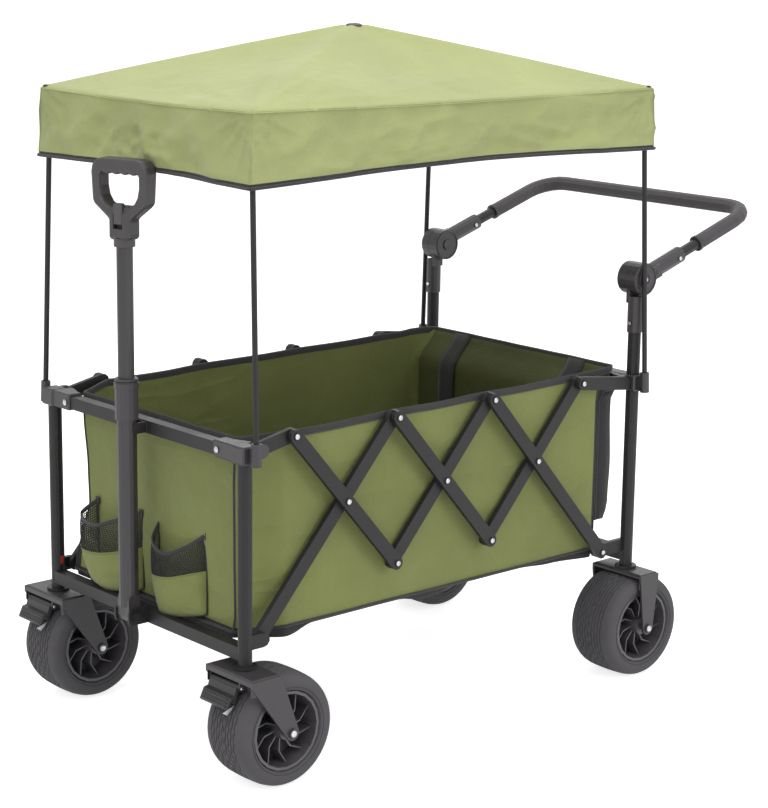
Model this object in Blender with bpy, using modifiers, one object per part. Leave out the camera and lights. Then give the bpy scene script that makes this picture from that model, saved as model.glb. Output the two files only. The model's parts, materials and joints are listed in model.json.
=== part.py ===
"""Folding wagon with a cloth bag, a canopy on four poles, a pull handle and a push bar.

Metres, +Z up. X runs across the wagon, -Y is the front with the pull handle, and the
origin lies on the floor midway between the four legs. "right" is +X.
"""

import math

import bmesh
import bpy
from mathutils import Matrix, Vector
from mathutils.geometry import convex_hull_2d

COLLECTION = "folding_wagon"

# Clearances
FIT = 0.0003
RUNNING = 0.0006

# Frame
LEG_X = 0.251
LEG_Y = 0.414
LEG_RADIUS = 0.011
RAIL = 0.020
TOP_RAIL_Z = 0.5115
LOW_RAIL_Z = 0.209
CROWN_TOP = 0.186
FLANGE_RADIUS = 0.0185
FLANGE_HEIGHT = 0.004
STEM_RADIUS = 0.0065
STEM_LENGTH = 0.007
TUBE_SIDES = 14

# Wheels and forks
WHEEL_RADIUS = 0.089
TYRE_WIDTH = 0.094
RIM_RADIUS = 0.0625
AXLE_RADIUS = 0.0055
TRAIL = 0.0458
FORK_PLATE = 0.0045
FORK_REACH = 0.0523
CROWN_DEPTH = 0.044
CROWN_HEIGHT = 0.028
CROWN_LIP = 0.010
CROWN_SETBACK = 0.001
FORK_FOOT = 0.0118
WHEEL_GAP = 0.004
RIVET_RADIUS = 0.0058
RIVET_HEIGHT = 0.0022
TYRE_STEPS = 24
RIM_STEPS = 20
RIM_RIBS = 10
RIB_THICK = 0.0024
RIB_TWIST = math.radians(26)

# Scissor lattice, seen from the side
BAR_WIDTH = 0.022
BAR_THICK = 0.009
LAYER_GAP = 0.0012
FRONT_TAB = 0.028625
REAR_TAB = 0.069625
TOP_PIVOT_Z = 0.527
CROSS_Z = 0.411
LOW_PIVOT_Z = 0.295
END_PIVOT_Z = 0.226
PIN_RADIUS = 0.003
PIN_SIDES = 8
BAR_END_STEPS = 5

# Corner brackets and canopy poles
BRACKET_LOW = 0.4985
BRACKET_TOP = 0.526
BRACKET_WIDTH = 0.031
BRACKET_BACK = 0.0135
ARM_LENGTH = 0.045
ARM_DEPTH = 0.026
GUSSET_REACH = 0.010
GUSSET_THICK = 0.0035
LINK_PIVOT_REACH = 0.0265
LINK_PIVOT_Z = 0.514
POLE_RADIUS = 0.0045
POLE_FOOT = (0.2785, 0.414, 0.5035)
POLE_TOP = (0.2585, 0.4075, 0.990)
SOCKET_RADIUS = 0.0078
SOCKET_LENGTH = 0.034
POLE_SIDES = 8

# Canopy
ROOF_HALF_X = 0.268
ROOF_HALF_Y = 0.417
ROOF_EDGE_Z = 1.008
ROOF_PEAK_Z = 1.106
VALANCE = 0.109
VALANCE_FLARE = 0.004
HEM_FRONT_LIFT = 0.004
HEM_REAR_LIFT = 0.014
HEM_SIDE_RISE = 0.0135
HEM_END_RISE = 0.004
ROOF_CLOTH = 0.0016
ROOF_SAG = 0.008
ROOF_EDGE_SAG = 0.004
VALANCE_PULL = 0.006
ROOF_STEPS_X = 6
ROOF_STEPS_Y = 8
ROOF_FLAT = 0.06
CANOPY_ROD_RADIUS = 0.0035
CANOPY_HUB_RADIUS = 0.018
CANOPY_HUB_HEIGHT = 0.010
POLE_CAP_RADIUS = 0.0066
POLE_CAP_LENGTH = 0.034

# Bag
BAG_HALF_X = 0.2335
BAG_FRONT_Y = -0.391
BAG_BACK_Y = 0.353
BAG_RIM_Z = 0.531
BAG_SEAM_Z = 0.228
BAG_FLOOR_Z = 0.205
BAG_CLOTH = 0.003
BAG_CORNER = 0.030
BAG_FACE_HALF_X = 0.197
BAG_FACE_CORNER = 0.005
BAG_SHOULDER_Y = -0.326
BAG_BOW = 0.003
STRAP_X = 0.140
STRAP_WIDTH = 0.038
STRAP_CLOTH = 0.0025
POCKET_CENTRES_X = (-0.094, 0.070)
POCKET_WIDTH = 0.124
POCKET_DEPTH = 0.028
POCKET_LOW = 0.227
POCKET_TOP = 0.350
POCKET_CLOTH = 0.0025
POUCH_HALF_X = 0.229
POUCH_DEPTH = 0.034
POUCH_LOW = 0.272
POUCH_TOP = 0.505

# Pull handle
HANDLE_Y = -0.447
HANDLE_PIVOT_Z = 0.212
HANDLE_PIN_RADIUS = 0.004
OUTER_TUBE_RADIUS = 0.0155
OUTER_TUBE_FOOT = 0.011
INNER_TUBE_RADIUS = 0.0127
INNER_TUBE_LOW = 0.430
COLLAR_LOW = 0.5245
COLLAR_TOP = 0.583
COLLAR_RADIUS = 0.0172
TUBE_FLOOR = 0.238
EAR_THICK = 0.004
CLIP_THICK = 0.003
GRIP_TOP = 0.921
GRIP_TURN = math.radians(18)
GRIP_DEPTH = 0.027
GRIP_HALF_WIDTH = 0.054
GRIP_SHOULDER = 0.068
GRIP_WAIST = 0.092
HOLE_HALF_WIDTH = 0.0355
HOLE_TOP = 0.0215
HOLE_LOW = 0.071
NECK_LENGTH = 0.121
GRIP_COLLAR_LENGTH = 0.011
GRIP_COLLAR_RADIUS = 0.0165
NECK_WIDTH = 0.038
NECK_DEPTH = 0.033
NECK_INSERT = 0.106
BUTTON_WIDTH = 0.016
BUTTON_DEPTH = 0.010
BUTTON_TRAVEL = 0.006
BUTTON_TOP = 0.066
BUTTON_LENGTH = 0.032

# Push bar
HUB_Y = 0.422
HUB_Z = 0.688
HUB_RADIUS = 0.0275
HUB_INWARD = 0.0265
HUB_OUTWARD = 0.0130
HUB_SPLIT = -0.004
SLEEVE_RADIUS = 0.0132
SLEEVE_LOW = 0.598
SLEEVE_TOP = 0.6595
POST_TOP = 0.654
PUSH_SLOPE = math.radians(18.5)
STUB_START = 0.029
STUB_END = 0.103
PUSH_TUBE_RADIUS = 0.0095
PUSH_TUBE_START = 0.036
PUSH_REACH = 0.300
PUSH_CORNER = 0.050
FOAM_RADIUS = 0.0130
FOAM_START = 0.150
HUB_PIN_RADIUS = 0.005
STUB_RADIUS = 0.0140
SNAP_RADIUS = 0.0035
SNAP_HEIGHT = 0.016
SNAP_PROUD = 0.0020
SNAP_TRAVEL = 0.003

# Brake pedals, measured from the swivel axis of their caster
PEDAL_NEAR_X = -0.048
PEDAL_FAR_X = 0.018
PEDAL_PIVOT_Y = -0.022
PEDAL_PIVOT_Z = 0.165
PEDAL_RECESS = -0.0135
PEDAL_BARREL = 0.0058
PEDAL_PIN_RADIUS = 0.0022
PEDAL_REACH = 0.0265
PEDAL_DROP = 0.0300

SIDES = (("left", -1), ("right", 1))
SIDE_PLANE = Matrix(((0, 0, 1, 0), (1, 0, 0, 0), (0, 1, 0, 0), (0, 0, 0, 1)))
FRONT_PLANE = Matrix(((1, 0, 0, 0), (0, 0, -1, 0), (0, 1, 0, 0), (0, 0, 0, 1)))


def clear_scene():
    for obj in list(bpy.data.objects):
        bpy.data.objects.remove(obj, do_unlink=True)


def finish(name, colour, metallic, roughness):
    material = bpy.data.materials.new(name)
    material.use_nodes = True
    shader = material.node_tree.nodes["Principled BSDF"]
    shader.inputs["Base Color"].default_value = (*colour, 1)
    shader.inputs["Metallic"].default_value = metallic
    shader.inputs["Roughness"].default_value = roughness
    material.diffuse_color = (*colour, 1)
    return material


FINISHES = {
    "painted_steel": ((0.055, 0.052, 0.057), 0.6, 0.45),
    "black_plastic": ((0.030, 0.029, 0.031), 0.0, 0.55),
    "tyre_rubber": ((0.040, 0.039, 0.041), 0.0, 0.80),
    "foam": ((0.035, 0.034, 0.036), 0.0, 0.90),
    "green_cloth": ((0.205, 0.245, 0.065), 0.0, 0.85),
    "canopy_cloth": ((0.330, 0.380, 0.150), 0.0, 0.80),
}


def shown(mesh, name="helper"):
    obj = bpy.data.objects.new(name, mesh)
    bpy.context.scene.collection.objects.link(obj)
    return obj


def from_bmesh(bm):
    mesh = bpy.data.meshes.new("helper")
    bm.to_mesh(mesh)
    bm.free()
    return shown(mesh)


def made_mesh(obj):
    """A plain mesh of what the object's modifiers or curve settings give, in world space."""
    bpy.context.view_layer.update()
    graph = bpy.context.evaluated_depsgraph_get()
    mesh = bpy.data.meshes.new_from_object(obj.evaluated_get(graph), depsgraph=graph)
    mesh.transform(obj.matrix_world)
    bm = bmesh.new()
    bm.from_mesh(mesh)
    bmesh.ops.remove_doubles(bm, verts=bm.verts, dist=1e-6)
    bmesh.ops.recalc_face_normals(bm, faces=bm.faces)
    bm.to_mesh(mesh)
    bm.free()
    bpy.data.objects.remove(obj, do_unlink=True)
    return mesh


def box(low, high, bevel=0.0, turn=None):
    """A block between two corners, its edges bevelled, turned about its centre."""
    low, high = Vector(low), Vector(high)
    size = high - low
    bm = bmesh.new()
    place = Matrix.Translation((low + high) / 2) @ (turn or Matrix())
    bmesh.ops.create_cube(bm, size=1, matrix=place @ Matrix.Diagonal((*map(abs, size), 1)))
    block = from_bmesh(bm)
    if bevel:
        edges = block.modifiers.new("edges", "BEVEL")
        edges.width = bevel
        edges.segments = 1
    return block


def rod(radius, start, end, sides=TUBE_SIDES, end_radius=None):
    """A round bar or cone between two points."""
    start, end = Vector(start), Vector(end)
    along = end - start
    turn = along.to_track_quat("Z", "Y").to_matrix().to_4x4()
    bm = bmesh.new()
    bmesh.ops.create_cone(
        bm,
        cap_ends=True,
        segments=sides,
        radius1=radius,
        radius2=radius if end_radius is None else end_radius,
        depth=along.length,
        matrix=Matrix.Translation((start + end) / 2) @ turn,
    )
    return from_bmesh(bm)


def around(radius, sides, gap=FIT):
    """The radius of a many-sided bore whose flats clear a round piece by the gap."""
    return (radius + gap) / math.cos(math.pi / sides)


def circle(centre, radius, sides):
    return [
        (
            centre[0] + radius * math.cos(2 * math.pi * k / sides),
            centre[1] + radius * math.sin(2 * math.pi * k / sides),
        )
        for k in range(sides)
    ]


def capsule(first, last, radius, steps=BAR_END_STEPS):
    """The outline of a flat bar with round ends centred on two points."""
    angle = math.atan2(last[1] - first[1], last[0] - first[0])
    outline = []
    for centre, start in ((last, angle - math.pi / 2), (first, angle + math.pi / 2)):
        for k in range(steps + 1):
            turn = start + math.pi * k / steps
            outline.append((centre[0] + radius * math.cos(turn), centre[1] + radius * math.sin(turn)))
    return outline


def rounded(corners, steps=3):
    """A polygon of (u, v, radius) corners, each replaced by an arc of its own radius."""
    outline = []
    for k, (u, v, radius) in enumerate(corners):
        here = Vector((u, v))
        before = (Vector(corners[k - 1][:2]) - here).normalized()
        after = (Vector(corners[(k + 1) % len(corners)][:2]) - here).normalized()
        half = before.angle(after) / 2
        middle = here + (before + after).normalized() * radius / math.sin(half)
        start = here + before * radius / math.tan(half) - middle
        sweep = start.angle_signed(here + after * radius / math.tan(half) - middle)
        for step in range(steps + 1):
            outline.append(tuple(middle + Matrix.Rotation(-sweep * step / steps, 2) @ start))
    return outline


def rounded_box(low, high, radius, steps=3):
    """The outline of a rectangle between two corners with round corners."""
    corners = ((low[0], low[1]), (high[0], low[1]), (high[0], high[1]), (low[0], high[1]))
    return rounded([(*corner, radius) for corner in corners], steps)


def hull(points):
    """The outline drawn tight around a set of points."""
    return [points[k] for k in convex_hull_2d(points)]


def flat(outlines, thickness, place, rounding=0.0, rounding_steps=0):
    """A plate cut to an outline, with any further outlines as holes."""
    curve = bpy.data.curves.new("outline", "CURVE")
    curve.dimensions = "2D"
    curve.fill_mode = "BOTH"
    curve.extrude = thickness / 2 - rounding
    curve.bevel_depth = rounding
    curve.bevel_resolution = rounding_steps
    curve.offset = -rounding
    for outline in outlines:
        spline = curve.splines.new("POLY")
        spline.points.add(len(outline) - 1)
        for point, (u, v) in zip(spline.points, outline):
            point.co = (u, v, 0, 1)
        spline.use_cyclic_u = True
    obj = shown(curve)
    obj.matrix_world = place
    return shown(made_mesh(obj))


def side_plate(outlines, x, thickness, rounding=0.0):
    """A plate standing in the Y-Z plane, with its middle at x."""
    return flat(outlines, thickness, Matrix.Translation((x, 0, 0)) @ SIDE_PLANE, rounding)


def swept(points, radius, sides=8):
    """A tube along a line of points."""
    curve = bpy.data.curves.new("route", "CURVE")
    curve.dimensions = "3D"
    curve.bevel_depth = radius
    curve.bevel_resolution = sides // 2 - 2
    curve.use_fill_caps = True
    spline = curve.splines.new("POLY")
    spline.points.add(len(points) - 1)
    for point, at in zip(spline.points, points):
        point.co = (*at, 1)
    return shown(made_mesh(shown(curve)))


def turned(profile, steps, place):
    """A ring made by turning a closed profile of (distance along the axis, radius) points."""
    mesh = bpy.data.meshes.new("profile")
    count = len(profile)
    edges = [(k, (k + 1) % count) for k in range(count)]
    mesh.from_pydata([(radius, 0, along) for along, radius in profile], edges, [])
    ring = shown(mesh)
    ring.matrix_world = place
    screw = ring.modifiers.new("turn", "SCREW")
    screw.steps = screw.render_steps = steps
    screw.merge_threshold = 0.00001
    return shown(made_mesh(ring))


def loft(rings, closed_end=True):
    """Skins a run of equal rings, with the last one filled."""
    bm = bmesh.new()
    rows = [[bm.verts.new(point) for point in ring] for ring in rings]
    count = len(rows[0])
    for upper, lower in zip(rows, rows[1:]):
        for k in range(count):
            follow = (k + 1) % count
            bm.faces.new((upper[k], upper[follow], lower[follow], lower[k]))
    if closed_end:
        bm.faces.new(rows[-1])
    bmesh.ops.recalc_face_normals(bm, faces=bm.faces)
    return from_bmesh(bm)


def thickened(sheet, thickness, offset):
    """A cloth sheet as a thin closed solid."""
    cloth = sheet.modifiers.new("cloth", "SOLIDIFY")
    cloth.thickness = thickness
    cloth.offset = offset
    cloth.use_even_offset = True
    return shown(made_mesh(sheet))


def combined(base, join=(), cut=()):
    """Joins helpers onto a body, then cuts others from it."""
    for operation, others in (("UNION", join), ("DIFFERENCE", cut)):
        for other in others:
            step = base.modifiers.new(operation.lower(), "BOOLEAN")
            step.operation = operation
            step.solver = "EXACT"
            step.object = other
    mesh = made_mesh(base)
    for helper in (*join, *cut):
        bpy.data.objects.remove(helper, do_unlink=True)
    return shown(mesh)


def solid(name, base, join=(), cut=(), surface="painted_steel", pivot=(0, 0, 0)):
    """Joins and cuts helpers into one named body, with its origin at the pivot."""
    whole = combined(base, join, cut)
    mesh = whole.data
    bpy.data.objects.remove(whole, do_unlink=True)
    mesh.name = name
    mesh.materials.clear()
    mesh.materials.append(MATERIALS[surface])
    mesh.transform(Matrix.Translation(-Vector(pivot)))
    mesh.shade_smooth()
    mesh.set_sharp_from_angle(angle=math.radians(35))
    obj = bpy.data.objects.new(name, mesh)
    obj.location = pivot
    WAGON.objects.link(obj)
    return obj


# Where the lattice's pivots stand at rest

END_SHARE = (CROSS_Z - END_PIVOT_Z) / (TOP_PIVOT_Z - CROSS_Z)
PITCH = (2 * LEG_Y - FRONT_TAB - REAR_TAB) / (2 + END_SHARE)
LATTICE_CENTRE_Y = (FRONT_TAB - REAR_TAB) / 2
TOP = [(LATTICE_CENTRE_Y + PITCH * k, TOP_PIVOT_Z) for k in (-1.5, -0.5, 0.5, 1.5)]
CROSS = [(LATTICE_CENTRE_Y + PITCH * k, CROSS_Z) for k in (-1, 0, 1)]
LOW = [(LATTICE_CENTRE_Y + PITCH * k, LOW_PIVOT_Z) for k in (-0.5, 0.5)]
END_SPAN = PITCH / 2 * END_SHARE
FRONT_END = (CROSS[0][0] - END_SPAN, END_PIVOT_Z)
REAR_END = (CROSS[2][0] + END_SPAN, END_PIVOT_Z)
OUTER_X = LEG_X + (BAR_THICK + LAYER_GAP) / 2
INNER_X = LEG_X - (BAR_THICK + LAYER_GAP) / 2
LINK_FRONT = (-LEG_Y + LINK_PIVOT_REACH, LINK_PIVOT_Z)
LINK_REAR = (LEG_Y - LINK_PIVOT_REACH, LINK_PIVOT_Z)
PIN_HOLE = around(PIN_RADIUS, PIN_SIDES)


def hole(point):
    return circle(point, PIN_HOLE, PIN_SIDES)


def pin(side, point, headed=True, shank=True):
    """A rivet carried by a bar of the outer layer, through the bar behind it."""
    pieces = []
    y, z = point
    face = OUTER_X + BAR_THICK / 2
    if headed:
        start = (side * (face - BAR_THICK / 3), y, z)
        pieces.append(rod(RIVET_RADIUS, start, (side * (face + RIVET_HEIGHT), y, z), PIN_SIDES))
    if shank:
        start = (side * OUTER_X, y, z)
        pieces.append(rod(PIN_RADIUS, start, (side * (INNER_X - BAR_THICK / 2), y, z), PIN_SIDES))
    return pieces


def lattice_piece(name, side, ends, holes, pins, layer_x, pivot):
    bar = side_plate(
        [capsule(*ends, BAR_WIDTH / 2), *map(hole, holes)], side * layer_x, BAR_THICK
    )
    solid(name, bar, join=pins, pivot=(side * layer_x, *pivot))


def build_lattice():
    for word, side in SIDES:
        outer = (
            ("front", TOP[0], CROSS[0], LOW[0]),
            ("middle", TOP[1], CROSS[1], LOW[1]),
            ("rear", TOP[2], CROSS[2], REAR_END),
        )
        for place, top, cross, low in outer:
            pins = pin(side, cross) + pin(side, low)
            pins += pin(side, top, shank=place != "front")
            lattice_piece(f"bar_{place}_outer_{word}", side, (top, low), (), pins, OUTER_X, cross)
        inner = (
            ("front", TOP[1], CROSS[0], FRONT_END),
            ("middle", TOP[2], CROSS[1], LOW[0]),
            ("rear", TOP[3], CROSS[2], LOW[1]),
        )
        for place, top, cross, low in inner:
            holes = (cross, low) if place == "rear" else (top, cross, low)
            lattice_piece(f"bar_{place}_inner_{word}", side, (top, low), holes, (), INNER_X, cross)
        lattice_piece(
            f"link_front_{word}", side, (LINK_FRONT, TOP[0]), (LINK_FRONT,), (), INNER_X, LINK_FRONT
        )
        pins = pin(side, LINK_REAR, headed=False) + pin(side, TOP[3], shank=False)
        lattice_piece(f"link_rear_{word}", side, (LINK_REAR, TOP[3]), (), pins, OUTER_X, LINK_REAR)


def upright(side, y, top):
    """One leg tube with the round flange and the stem that carry it on its fork."""
    foot = CROWN_TOP + FIT
    x = side * LEG_X
    return [
        rod(LEG_RADIUS, (x, y, foot + FLANGE_HEIGHT / 2), (x, y, top)),
        rod(FLANGE_RADIUS, (x, y, foot), (x, y, foot + FLANGE_HEIGHT)),
        rod(STEM_RADIUS, (x, y, foot - STEM_LENGTH), (x, y, foot + FLANGE_HEIGHT / 2)),
    ]


def low_rail(y):
    half = RAIL / 2
    return box((-LEG_X, y - half, LOW_RAIL_Z - half), (LEG_X, y + half, LOW_RAIL_Z + half))


def handle_ears():
    """The two ears, the pin and its boss that the pull handle turns on."""
    inner = OUTER_TUBE_RADIUS + RUNNING
    outer = inner + EAR_THICK
    back = -LEG_Y - RAIL / 2 + 0.002
    front = HANDLE_Y - 0.014
    outline = rounded(
        [
            (back, HANDLE_PIVOT_Z - 0.012, 0.002),
            (back, HANDLE_PIVOT_Z + 0.016, 0.002),
            (front, HANDLE_PIVOT_Z + 0.012, 0.006),
            (front, HANDLE_PIVOT_Z - 0.012, 0.006),
        ]
    )
    middle = (inner + outer) / 2
    pieces = [side_plate([outline], side * middle, EAR_THICK) for _, side in SIDES]
    at = (HANDLE_Y, HANDLE_PIVOT_Z)
    pieces.append(rod(HANDLE_PIN_RADIUS, (-middle, *at), (middle, *at), 10))
    pieces.append(rod(0.008, (middle, *at), (outer + 0.004, *at), 12))
    return pieces


def build_front_frame():
    y = -LEG_Y
    top = BRACKET_TOP - 0.004
    tubes = [piece for _, side in SIDES for piece in upright(side, y, top)]
    tabs = []
    for _, side in SIDES:
        outline = capsule((y + LEG_RADIUS / 3, END_PIVOT_Z), FRONT_END, BAR_WIDTH / 2)
        tabs.append(side_plate([outline], side * OUTER_X, BAR_THICK))
        tabs += pin(side, FRONT_END, headed=False)
    pieces = tubes + tabs + handle_ears()
    solid("front_frame", low_rail(y), join=pieces)


def snap_bore(side):
    """The hole for the two snap buttons, through a rear post and the sleeve on it."""
    ends = [(side * LEG_X, LEG_Y + reach, SLEEVE_LOW + SNAP_HEIGHT) for reach in (-0.03, 0.03)]
    return rod(around(SNAP_RADIUS, 10, RUNNING), *ends, 10)


def build_rear_frame():
    y = LEG_Y
    tubes = [piece for _, side in SIDES for piece in upright(side, y, POST_TOP)]
    bores = []
    for _, side in SIDES:
        outline = capsule((y - LEG_RADIUS / 3, END_PIVOT_Z), REAR_END, BAR_WIDTH / 2)
        tubes.append(side_plate([outline, hole(REAR_END)], side * INNER_X, BAR_THICK))
        bores.append(snap_bore(side))
    solid("rear_frame", low_rail(y), join=tubes, cut=bores)


def top_rail(y):
    half = RAIL / 2
    end = LEG_X - BRACKET_WIDTH / 2 - FIT
    return box((-end, y - half, TOP_RAIL_Z - half), (end, y + half, TOP_RAIL_Z + half))


def build_top_rails():
    """The two top rails; the front one carries the open clip that holds the pull handle."""
    face = -LEG_Y - RAIL / 2
    inner = OUTER_TUBE_RADIUS + RUNNING
    outer = inner + CLIP_THICK
    low, high = TOP_RAIL_Z - RAIL * 0.42, TOP_RAIL_Z + RAIL * 0.42
    clip = [box((-outer, face - 0.003, low), (outer, face + 0.001, high))]
    for _, side in SIDES:
        clip.append(box((side * inner, HANDLE_Y, low), (side * outer, face, high)))
    solid("front_top_rail", top_rail(-LEG_Y), join=clip)
    solid("rear_top_rail", top_rail(LEG_Y))


def pole_line(side, end):
    """The foot and the top of one canopy pole."""
    foot = Vector((side * POLE_FOOT[0], end * POLE_FOOT[1], POLE_FOOT[2]))
    top = Vector((side * POLE_TOP[0], end * POLE_TOP[1], POLE_TOP[2]))
    return foot, top


def build_bracket(name, side, end):
    """A corner bracket: it caps the leg, grips the top rail, and holds a pole and a link."""
    x, y = side * LEG_X, end * LEG_Y
    half = BRACKET_WIDTH / 2
    block = box(
        (x - half, y + end * half, BRACKET_LOW),
        (x + half, y - end * BRACKET_BACK, BRACKET_TOP),
        bevel=0.0025,
    )
    arm_end = side * (LEG_X - half - ARM_LENGTH)
    arm = box(
        (arm_end, y - ARM_DEPTH / 2, BRACKET_LOW + 0.0006),
        (side * (LEG_X - half + 0.004), y + ARM_DEPTH / 2, BRACKET_TOP - 0.0006),
        bevel=0.002,
    )
    layer = OUTER_X if end < 0 else INNER_X
    link = LINK_FRONT if end < 0 else LINK_REAR
    outline = capsule((y - end * 0.006, LINK_PIVOT_Z), link, BAR_WIDTH / 2)
    cheek_holes = [hole(link)] if end > 0 else []
    cheek = side_plate([outline, *cheek_holes], side * layer, BAR_THICK)
    foot, top = pole_line(side, end)
    along = (top - foot).normalized()
    socket_foot = foot - along * 0.005
    socket = rod(SOCKET_RADIUS, socket_foot, socket_foot + along * SOCKET_LENGTH, 12)
    web = box(
        (side * (LEG_X + half - 0.003), y - 0.004, BRACKET_LOW + 0.001),
        (side * (POLE_FOOT[0] - POLE_RADIUS - 0.001), y + 0.004, BRACKET_TOP - 0.001),
    )
    corners = [
        (arm_end + side * 0.008, y - end * (ARM_DEPTH / 2 - 0.002)),
        (side * (LEG_X - half + 0.002), y - end * (ARM_DEPTH / 2 - 0.002)),
        (side * (LEG_X - half + 0.002), y - end * (BRACKET_BACK + GUSSET_REACH)),
        (side * (LEG_X - half - 0.004), y - end * (BRACKET_BACK + GUSSET_REACH)),
    ]
    level = BRACKET_TOP - 0.0015 - GUSSET_THICK / 2
    gusset = flat([corners], GUSSET_THICK, Matrix.Translation((0, 0, level)))
    rivet_x = arm_end + side * 0.010
    rivet_y = y + end * ARM_DEPTH / 2
    rivet = rod(
        0.005,
        (rivet_x, rivet_y - end * 0.001, TOP_RAIL_Z),
        (rivet_x, rivet_y + end * 0.0015, TOP_RAIL_Z),
        PIN_SIDES,
    )
    pins = pin(side, link, headed=False) if end < 0 else []
    bore_top = BRACKET_TOP - 0.0035 if end < 0 else BRACKET_TOP + 0.01
    bore = around(LEG_RADIUS, TUBE_SIDES)
    rail_gap = RAIL / 2 + FIT
    cavity = box(
        (arm_end - side * 0.01, y - rail_gap, TOP_RAIL_Z - rail_gap),
        (side * (LEG_X - half), y + rail_gap, TOP_RAIL_Z + rail_gap),
    )
    solid(
        name,
        block,
        join=[arm, cheek, web, gusset, socket, rivet, *pins],
        cut=[
            rod(bore, (x, y, BRACKET_LOW - 0.01), (x, y, bore_top)),
            rod(around(POLE_RADIUS, POLE_SIDES), foot - along * FIT, top, POLE_SIDES),
            cavity,
        ],
        surface="black_plastic",
    )


def build_brackets_and_poles():
    for word, side in SIDES:
        for place, end in (("front", -1), ("rear", 1)):
            build_bracket(f"{place}_bracket_{word}", side, end)
            foot, top = pole_line(side, end)
            solid(f"{place}_pole_{word}", rod(POLE_RADIUS, foot, top, POLE_SIDES))


def wheel_place(x, y):
    turn = Matrix.Rotation(math.pi / 2, 4, "Y")
    return Matrix.Translation((x, y, WHEEL_RADIUS)) @ turn


def rib_outline(y, start):
    """A rim's rib seen along the axle: a thin strip that leans forward on its way out."""
    left, right = [], []
    for step in range(3):
        radius = 0.0125 + (RIM_RADIUS - 0.0190) * step / 2
        angle = start + RIB_TWIST * (step / 2) ** 1.6
        along = Vector((math.cos(angle), math.sin(angle)))
        aside = Vector((-along.y, along.x)) * RIB_THICK / 2
        centre = Vector((y, WHEEL_RADIUS)) + along * radius
        left.append(tuple(centre + aside))
        right.append(tuple(centre - aside))
    return right + left[::-1]


def build_wheel(word, x, y):
    half = TYRE_WIDTH / 2
    groove = 0.0035
    tread = [(-half, RIM_RADIUS + 0.004), (-half + 0.0005, 0.078), (-half + 0.0065, 0.0862)]
    for middle in (-0.021, 0, 0.021):
        drop = 0.0 if middle == 0 else 0.0006
        tread += [
            (middle - 0.0045, WHEEL_RADIUS - drop),
            (middle, WHEEL_RADIUS - groove),
            (middle + 0.0045, WHEEL_RADIUS - drop),
        ]
    tread += [(-along, radius) for along, radius in reversed(tread[:3])]
    tread += [(half - 0.003, RIM_RADIUS + FIT), (-half + 0.003, RIM_RADIUS + FIT)]
    at = (x, y, WHEEL_RADIUS)
    tyre = turned(tread, TYRE_STEPS, wheel_place(x, y))
    solid(f"tyre_{word}", tyre, surface="tyre_rubber", pivot=at)
    lip = half - 0.004
    bore = around(AXLE_RADIUS, RIM_STEPS, RUNNING)
    seat = RIM_RADIUS * math.cos(math.pi / TYRE_STEPS) - FIT
    one_side = [
        (-lip, seat),
        (-lip, seat - 0.0045),
        (-0.005, seat - 0.0075),
        (-0.003, 0.0155),
        (-lip, 0.0140),
        (-lip, bore),
    ]
    profile = one_side + [(-along, radius) for along, radius in reversed(one_side)]
    rim = turned(profile, RIM_STEPS, wheel_place(x, y))
    ribs = [
        side_plate([rib_outline(y, 2 * math.pi * k / RIM_RIBS)], x, 2 * (lip - 0.012))
        for k in range(RIM_RIBS)
    ]
    solid(f"rim_{word}", rim, join=ribs, surface="black_plastic", pivot=at)


def build_fork(x, y, axle_y, front, back):
    """A fork: crown with an arch over the wheel, two side plates and the fixed axle."""
    outer = FORK_REACH + FORK_PLATE
    centre = (axle_y, WHEEL_RADIUS)
    half = outer - CROWN_SETBACK
    crown = box(
        (x - half, y + front, CROWN_TOP - CROWN_HEIGHT), (x + half, y + back, CROWN_TOP), bevel=0.003
    )
    hollow = rod(WHEEL_RADIUS + WHEEL_GAP, (x - FORK_REACH, *centre), (x + FORK_REACH, *centre), 28)
    top = [(y + end, CROWN_TOP - drop) for end in (front, back) for drop in (0.002, 0.012)]
    outline = hull(top + circle(centre, FORK_FOOT, 14))
    details = []
    for side in (-1, 1):
        middle = x + side * (FORK_REACH + 0.0002 + FORK_PLATE / 2)
        details.append(side_plate([outline], middle, FORK_PLATE))
        face = x + side * outer
        details.append(rod(0.0078, (face, *centre), (face + side * 0.0035, *centre), 10))
    details.append(rod(AXLE_RADIUS, (x - outer, *centre), (x + outer, *centre), 12))
    return crown, [hollow], details


def pedal_pin(x, y):
    """The pin and the two lugs that a caster's brake pedal turns on."""
    at = (y + PEDAL_PIVOT_Y, PEDAL_PIVOT_Z)
    back = y + PEDAL_RECESS + 0.002
    lip = CROWN_TOP - CROWN_LIP + 0.001
    lug = hull(circle(at, 0.0055, 8) + [(back, PEDAL_PIVOT_Z - 0.004), (back, lip), (at[0] - 0.003, lip)])
    near, far = x + PEDAL_NEAR_X, x + PEDAL_FAR_X
    pieces = [
        side_plate([lug], near - RUNNING - 0.0016, 0.0032),
        side_plate([lug], far + RUNNING + 0.0016, 0.0032),
        rod(PEDAL_PIN_RADIUS, (near - 0.002, *at), (far + 0.002, *at), 8),
    ]
    return pieces


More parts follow.
